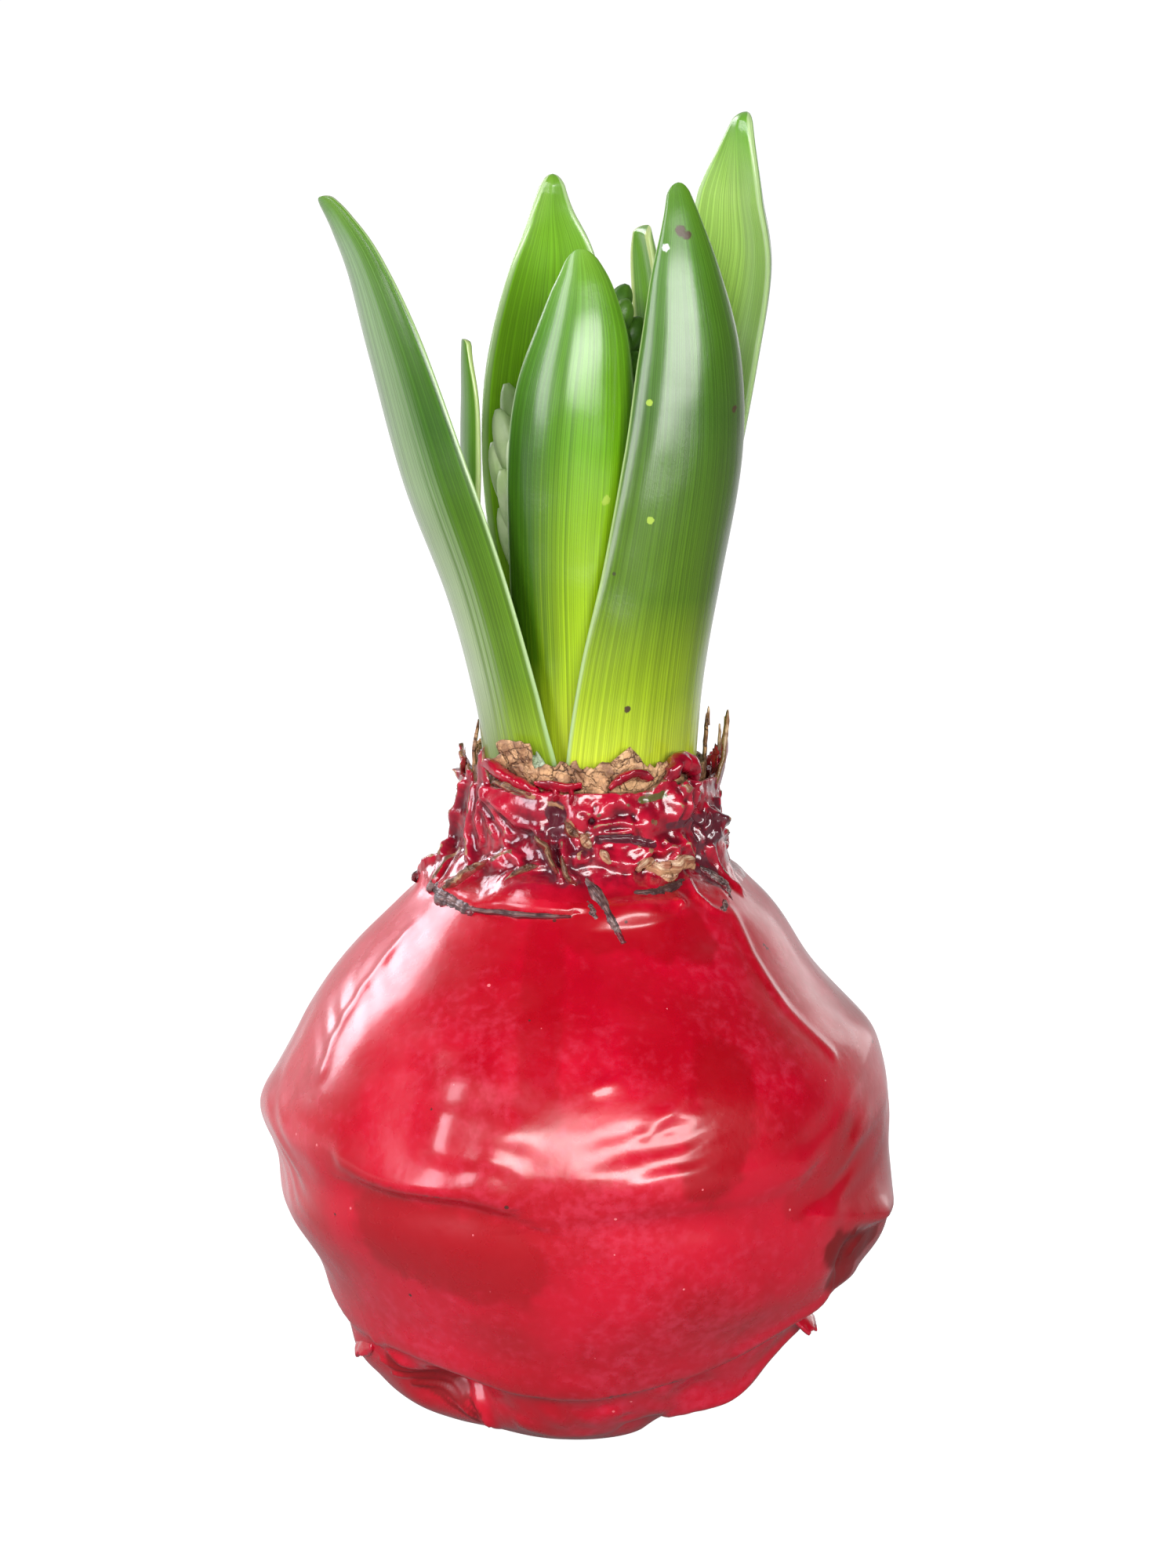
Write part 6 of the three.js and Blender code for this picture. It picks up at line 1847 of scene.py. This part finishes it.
def bud_finish():
    material, tree, shader = new_finish("green_bud")
    place = tree.place()
    # The buds' own pale green, brightened with painted light
    pale = tree.cloudy(place, 300.0, BUD_PALE_DEEP_AND_PAINTED_LIGHT, BUD_PALE_AND_PAINTED_LIGHT)
    dark = tree.cloudy(place, 300.0, BUD_DARK_DEEP, BUD_DARK)
    parts = tree.split(place)
    across = tree.carry(parts["X"], low=-0.006, high=0.003)
    above = tree.carry(parts["Z"], low=0.108, high=0.118, to_high=0.75)
    tree.give(shader, {
        "Base Color": tree.mix(tree.maths("MAXIMUM", across, above), pale, dark),
        "Normal": tree.bump(tree.grain(place, fine=1400.0, broad=500.0), strength=0.25, distance=0.0004),
        "Roughness": 0.40,
    })
    return material


# Stage

def make_camera():
    camera = bpy.data.objects.new("camera", bpy.data.cameras.new("camera"))
    camera.data.sensor_fit = "VERTICAL"
    camera.data.sensor_height = CAMERA_SENSOR
    camera.data.lens = CAMERA_LENS
    slope = math.radians(CAMERA_ELEVATION)
    back = Vector((0.0, -math.cos(slope), math.sin(slope))) * CAMERA_DISTANCE
    camera.location = (Vector(CAMERA_TARGET) + back) * MM
    camera.rotation_euler = (math.pi / 2 - slope, 0.0, 0.0)
    camera.data.clip_end = CAMERA_REACH
    bpy.context.scene.collection.objects.link(camera)
    bpy.context.scene.camera = camera


def softbox(name, place, size, power, colour=WHITE):
    light = bpy.data.lights.new(name, "AREA")
    light.shape = "RECTANGLE"
    light.size, light.size_y = size
    light.energy = power
    light.color = colour
    lamp = bpy.data.objects.new(name, light)
    lamp.location = place
    aim = Vector(SOFTBOX_AIM) - Vector(place)
    lamp.rotation_euler = aim.to_track_quat("-Z", "Y").to_euler()
    bpy.context.scene.collection.objects.link(lamp)


# A pale floor that glows a little, like a light table. It stays white to the eye, and casts light on the
# bulb from the back left.
def make_floor():
    material, tree, shader = new_finish("pale_floor")
    spread = tree.vectors("DOT_PRODUCT", tree.place(), FLOOR_LIGHT_WAY)["Value"]
    cast = tree.carry(spread, *FLOOR_LIGHT_REACH, FLOOR_LIGHT_FRONT, FLOOR_LIGHT_BEHIND)
    seen = tree.add("LightPath").outputs["Is Camera Ray"]
    tree.give(shader, {
        "Base Color": (FLOOR_ALBEDO, FLOOR_ALBEDO, FLOOR_ALBEDO),
        "Roughness": 0.9,
        "Specular IOR Level": 0.0,
        "Emission Color": WHITE,
        "Emission Strength": tree.carry(seen, 0.0, 1.0, cast, FLOOR_GLOW),
    })
    corners = [(FLOOR_SIDE * x, FLOOR_SIDE * y, FLOOR_DROP) for x, y in ((-1, -1), (1, -1), (1, 1), (-1, 1))]
    floor = mesh_object("floor", corners, [(0, 1, 2, 3)], [material])


# White behind and a little to the left, dim in front and on the right, where the room lies
def make_world():
    world = bpy.data.worlds.new("studio")
    bpy.context.scene.world = world
    world.use_nodes = True
    tree = Tree(world.node_tree)
    spread = tree.vectors("DOT_PRODUCT", tree.place("Generated"), BACKDROP_WAY)["Value"]
    behind = tree.carry(spread, *BACKDROP_REACH, ROOM_LIGHT, BACKDROP_LIGHT)
    tree.give(tree.nodes["Background"], {"Color": WHITE, "Strength": behind})


make_camera()
make_world()
make_floor()
softbox("left_softbox", (-0.86, -0.72, 0.46), (0.44, 0.80), 10.6, LILAC_LIGHT)
softbox("front_softbox", (0.30, -1.09, 0.31), (1.20, 0.28), 16.0)
softbox("back_left_softbox", (-0.85, 0.70, 0.62), (0.50, 0.60), 7.6, LILAC_LIGHT)
softbox("back_right_softbox", (0.68, 0.95, 0.30), (0.30, 0.50), 0.8)

scene = bpy.context.scene
scene.view_settings.view_transform = "Standard"
scene.view_settings.look = "None"

wax = make_wax_coat(red_wax())
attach(wax, "root")
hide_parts("wax_coat")

collar_material = collar_finish()
collar = make_collar_wax(row_flakes(np.random.default_rng(7)) + single_flakes(), collar_material)
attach(collar, "root")

strip_material = ribbon_finish(
    "sealed_tunic", (0.055, 0.022, 0.022), (0.30, 0.17, 0.15), (0.14, 0.010, 0.016), 0.26, 0.34)
dry_edge_material = ribbon_finish(
    "dry_edge", (0.10, 0.035, 0.018), (0.46, 0.26, 0.13), (0.22, 0.02, 0.015), 0.30, 0.45)
cream_edge_material = ribbon_finish(
    "cream_edge", (0.34, 0.12, 0.06), (0.86, 0.68, 0.44), (0.60, 0.34, 0.18), 0.30, 0.5)
for name, ribbons, material, seed in (
        ("sealed_strips", SEALED_STRIPS, strip_material, 50),
        ("dry_edges", DRY_EDGES, dry_edge_material, 150),
        ("red_rolls", RED_ROLLS, collar_material, 350),
        ("cream_edges", CREAM_EDGES, cream_edge_material, 250)):
    ribbon = table_piece(name, ribbon_shell, ribbons, material, seed)
    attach(ribbon, "root")

curls = table_piece("dry_curls", curl_shell, DRY_CURLS, dry_curl_finish(), CURL_SEED)
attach(curls, "root")

scale_material = tunic_finish(
    "green_scale", (0.22, 0.30, 0.14), (0.50, 0.60, 0.42), (0.10, 0.12, 0.06), 400.0)
green_scale = table_piece("green_scale", scrap_shell, GREEN_SCALE, scale_material, GREEN_SCALE_SEED)
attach(green_scale, "root")

tunic_material = tunic_finish(
    "brown_tunic", (0.23, 0.10, 0.045), (0.74, 0.44, 0.22), (0.07, 0.028, 0.014), 620.0)
bulb = make_bulb(tunic_material)
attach(bulb, "root")
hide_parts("bulb")

scraps = table_piece("tunic_scraps", scrap_shell, TUNIC_SCRAPS, tunic_material, SCRAP_SEED)
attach(scraps, "root")

greens = {name: leaf_finish(name, look) for name, look in LEAF_LOOKS.items()}
for name, (outer, inner) in LEAF_FACES.items():
    blade = make_leaf(name, [greens[outer], greens[inner]])
    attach(blade, "root")
    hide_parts(name)

spike = make_flower_spike(bud_finish())
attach(spike, "root")
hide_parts("flower_spike")
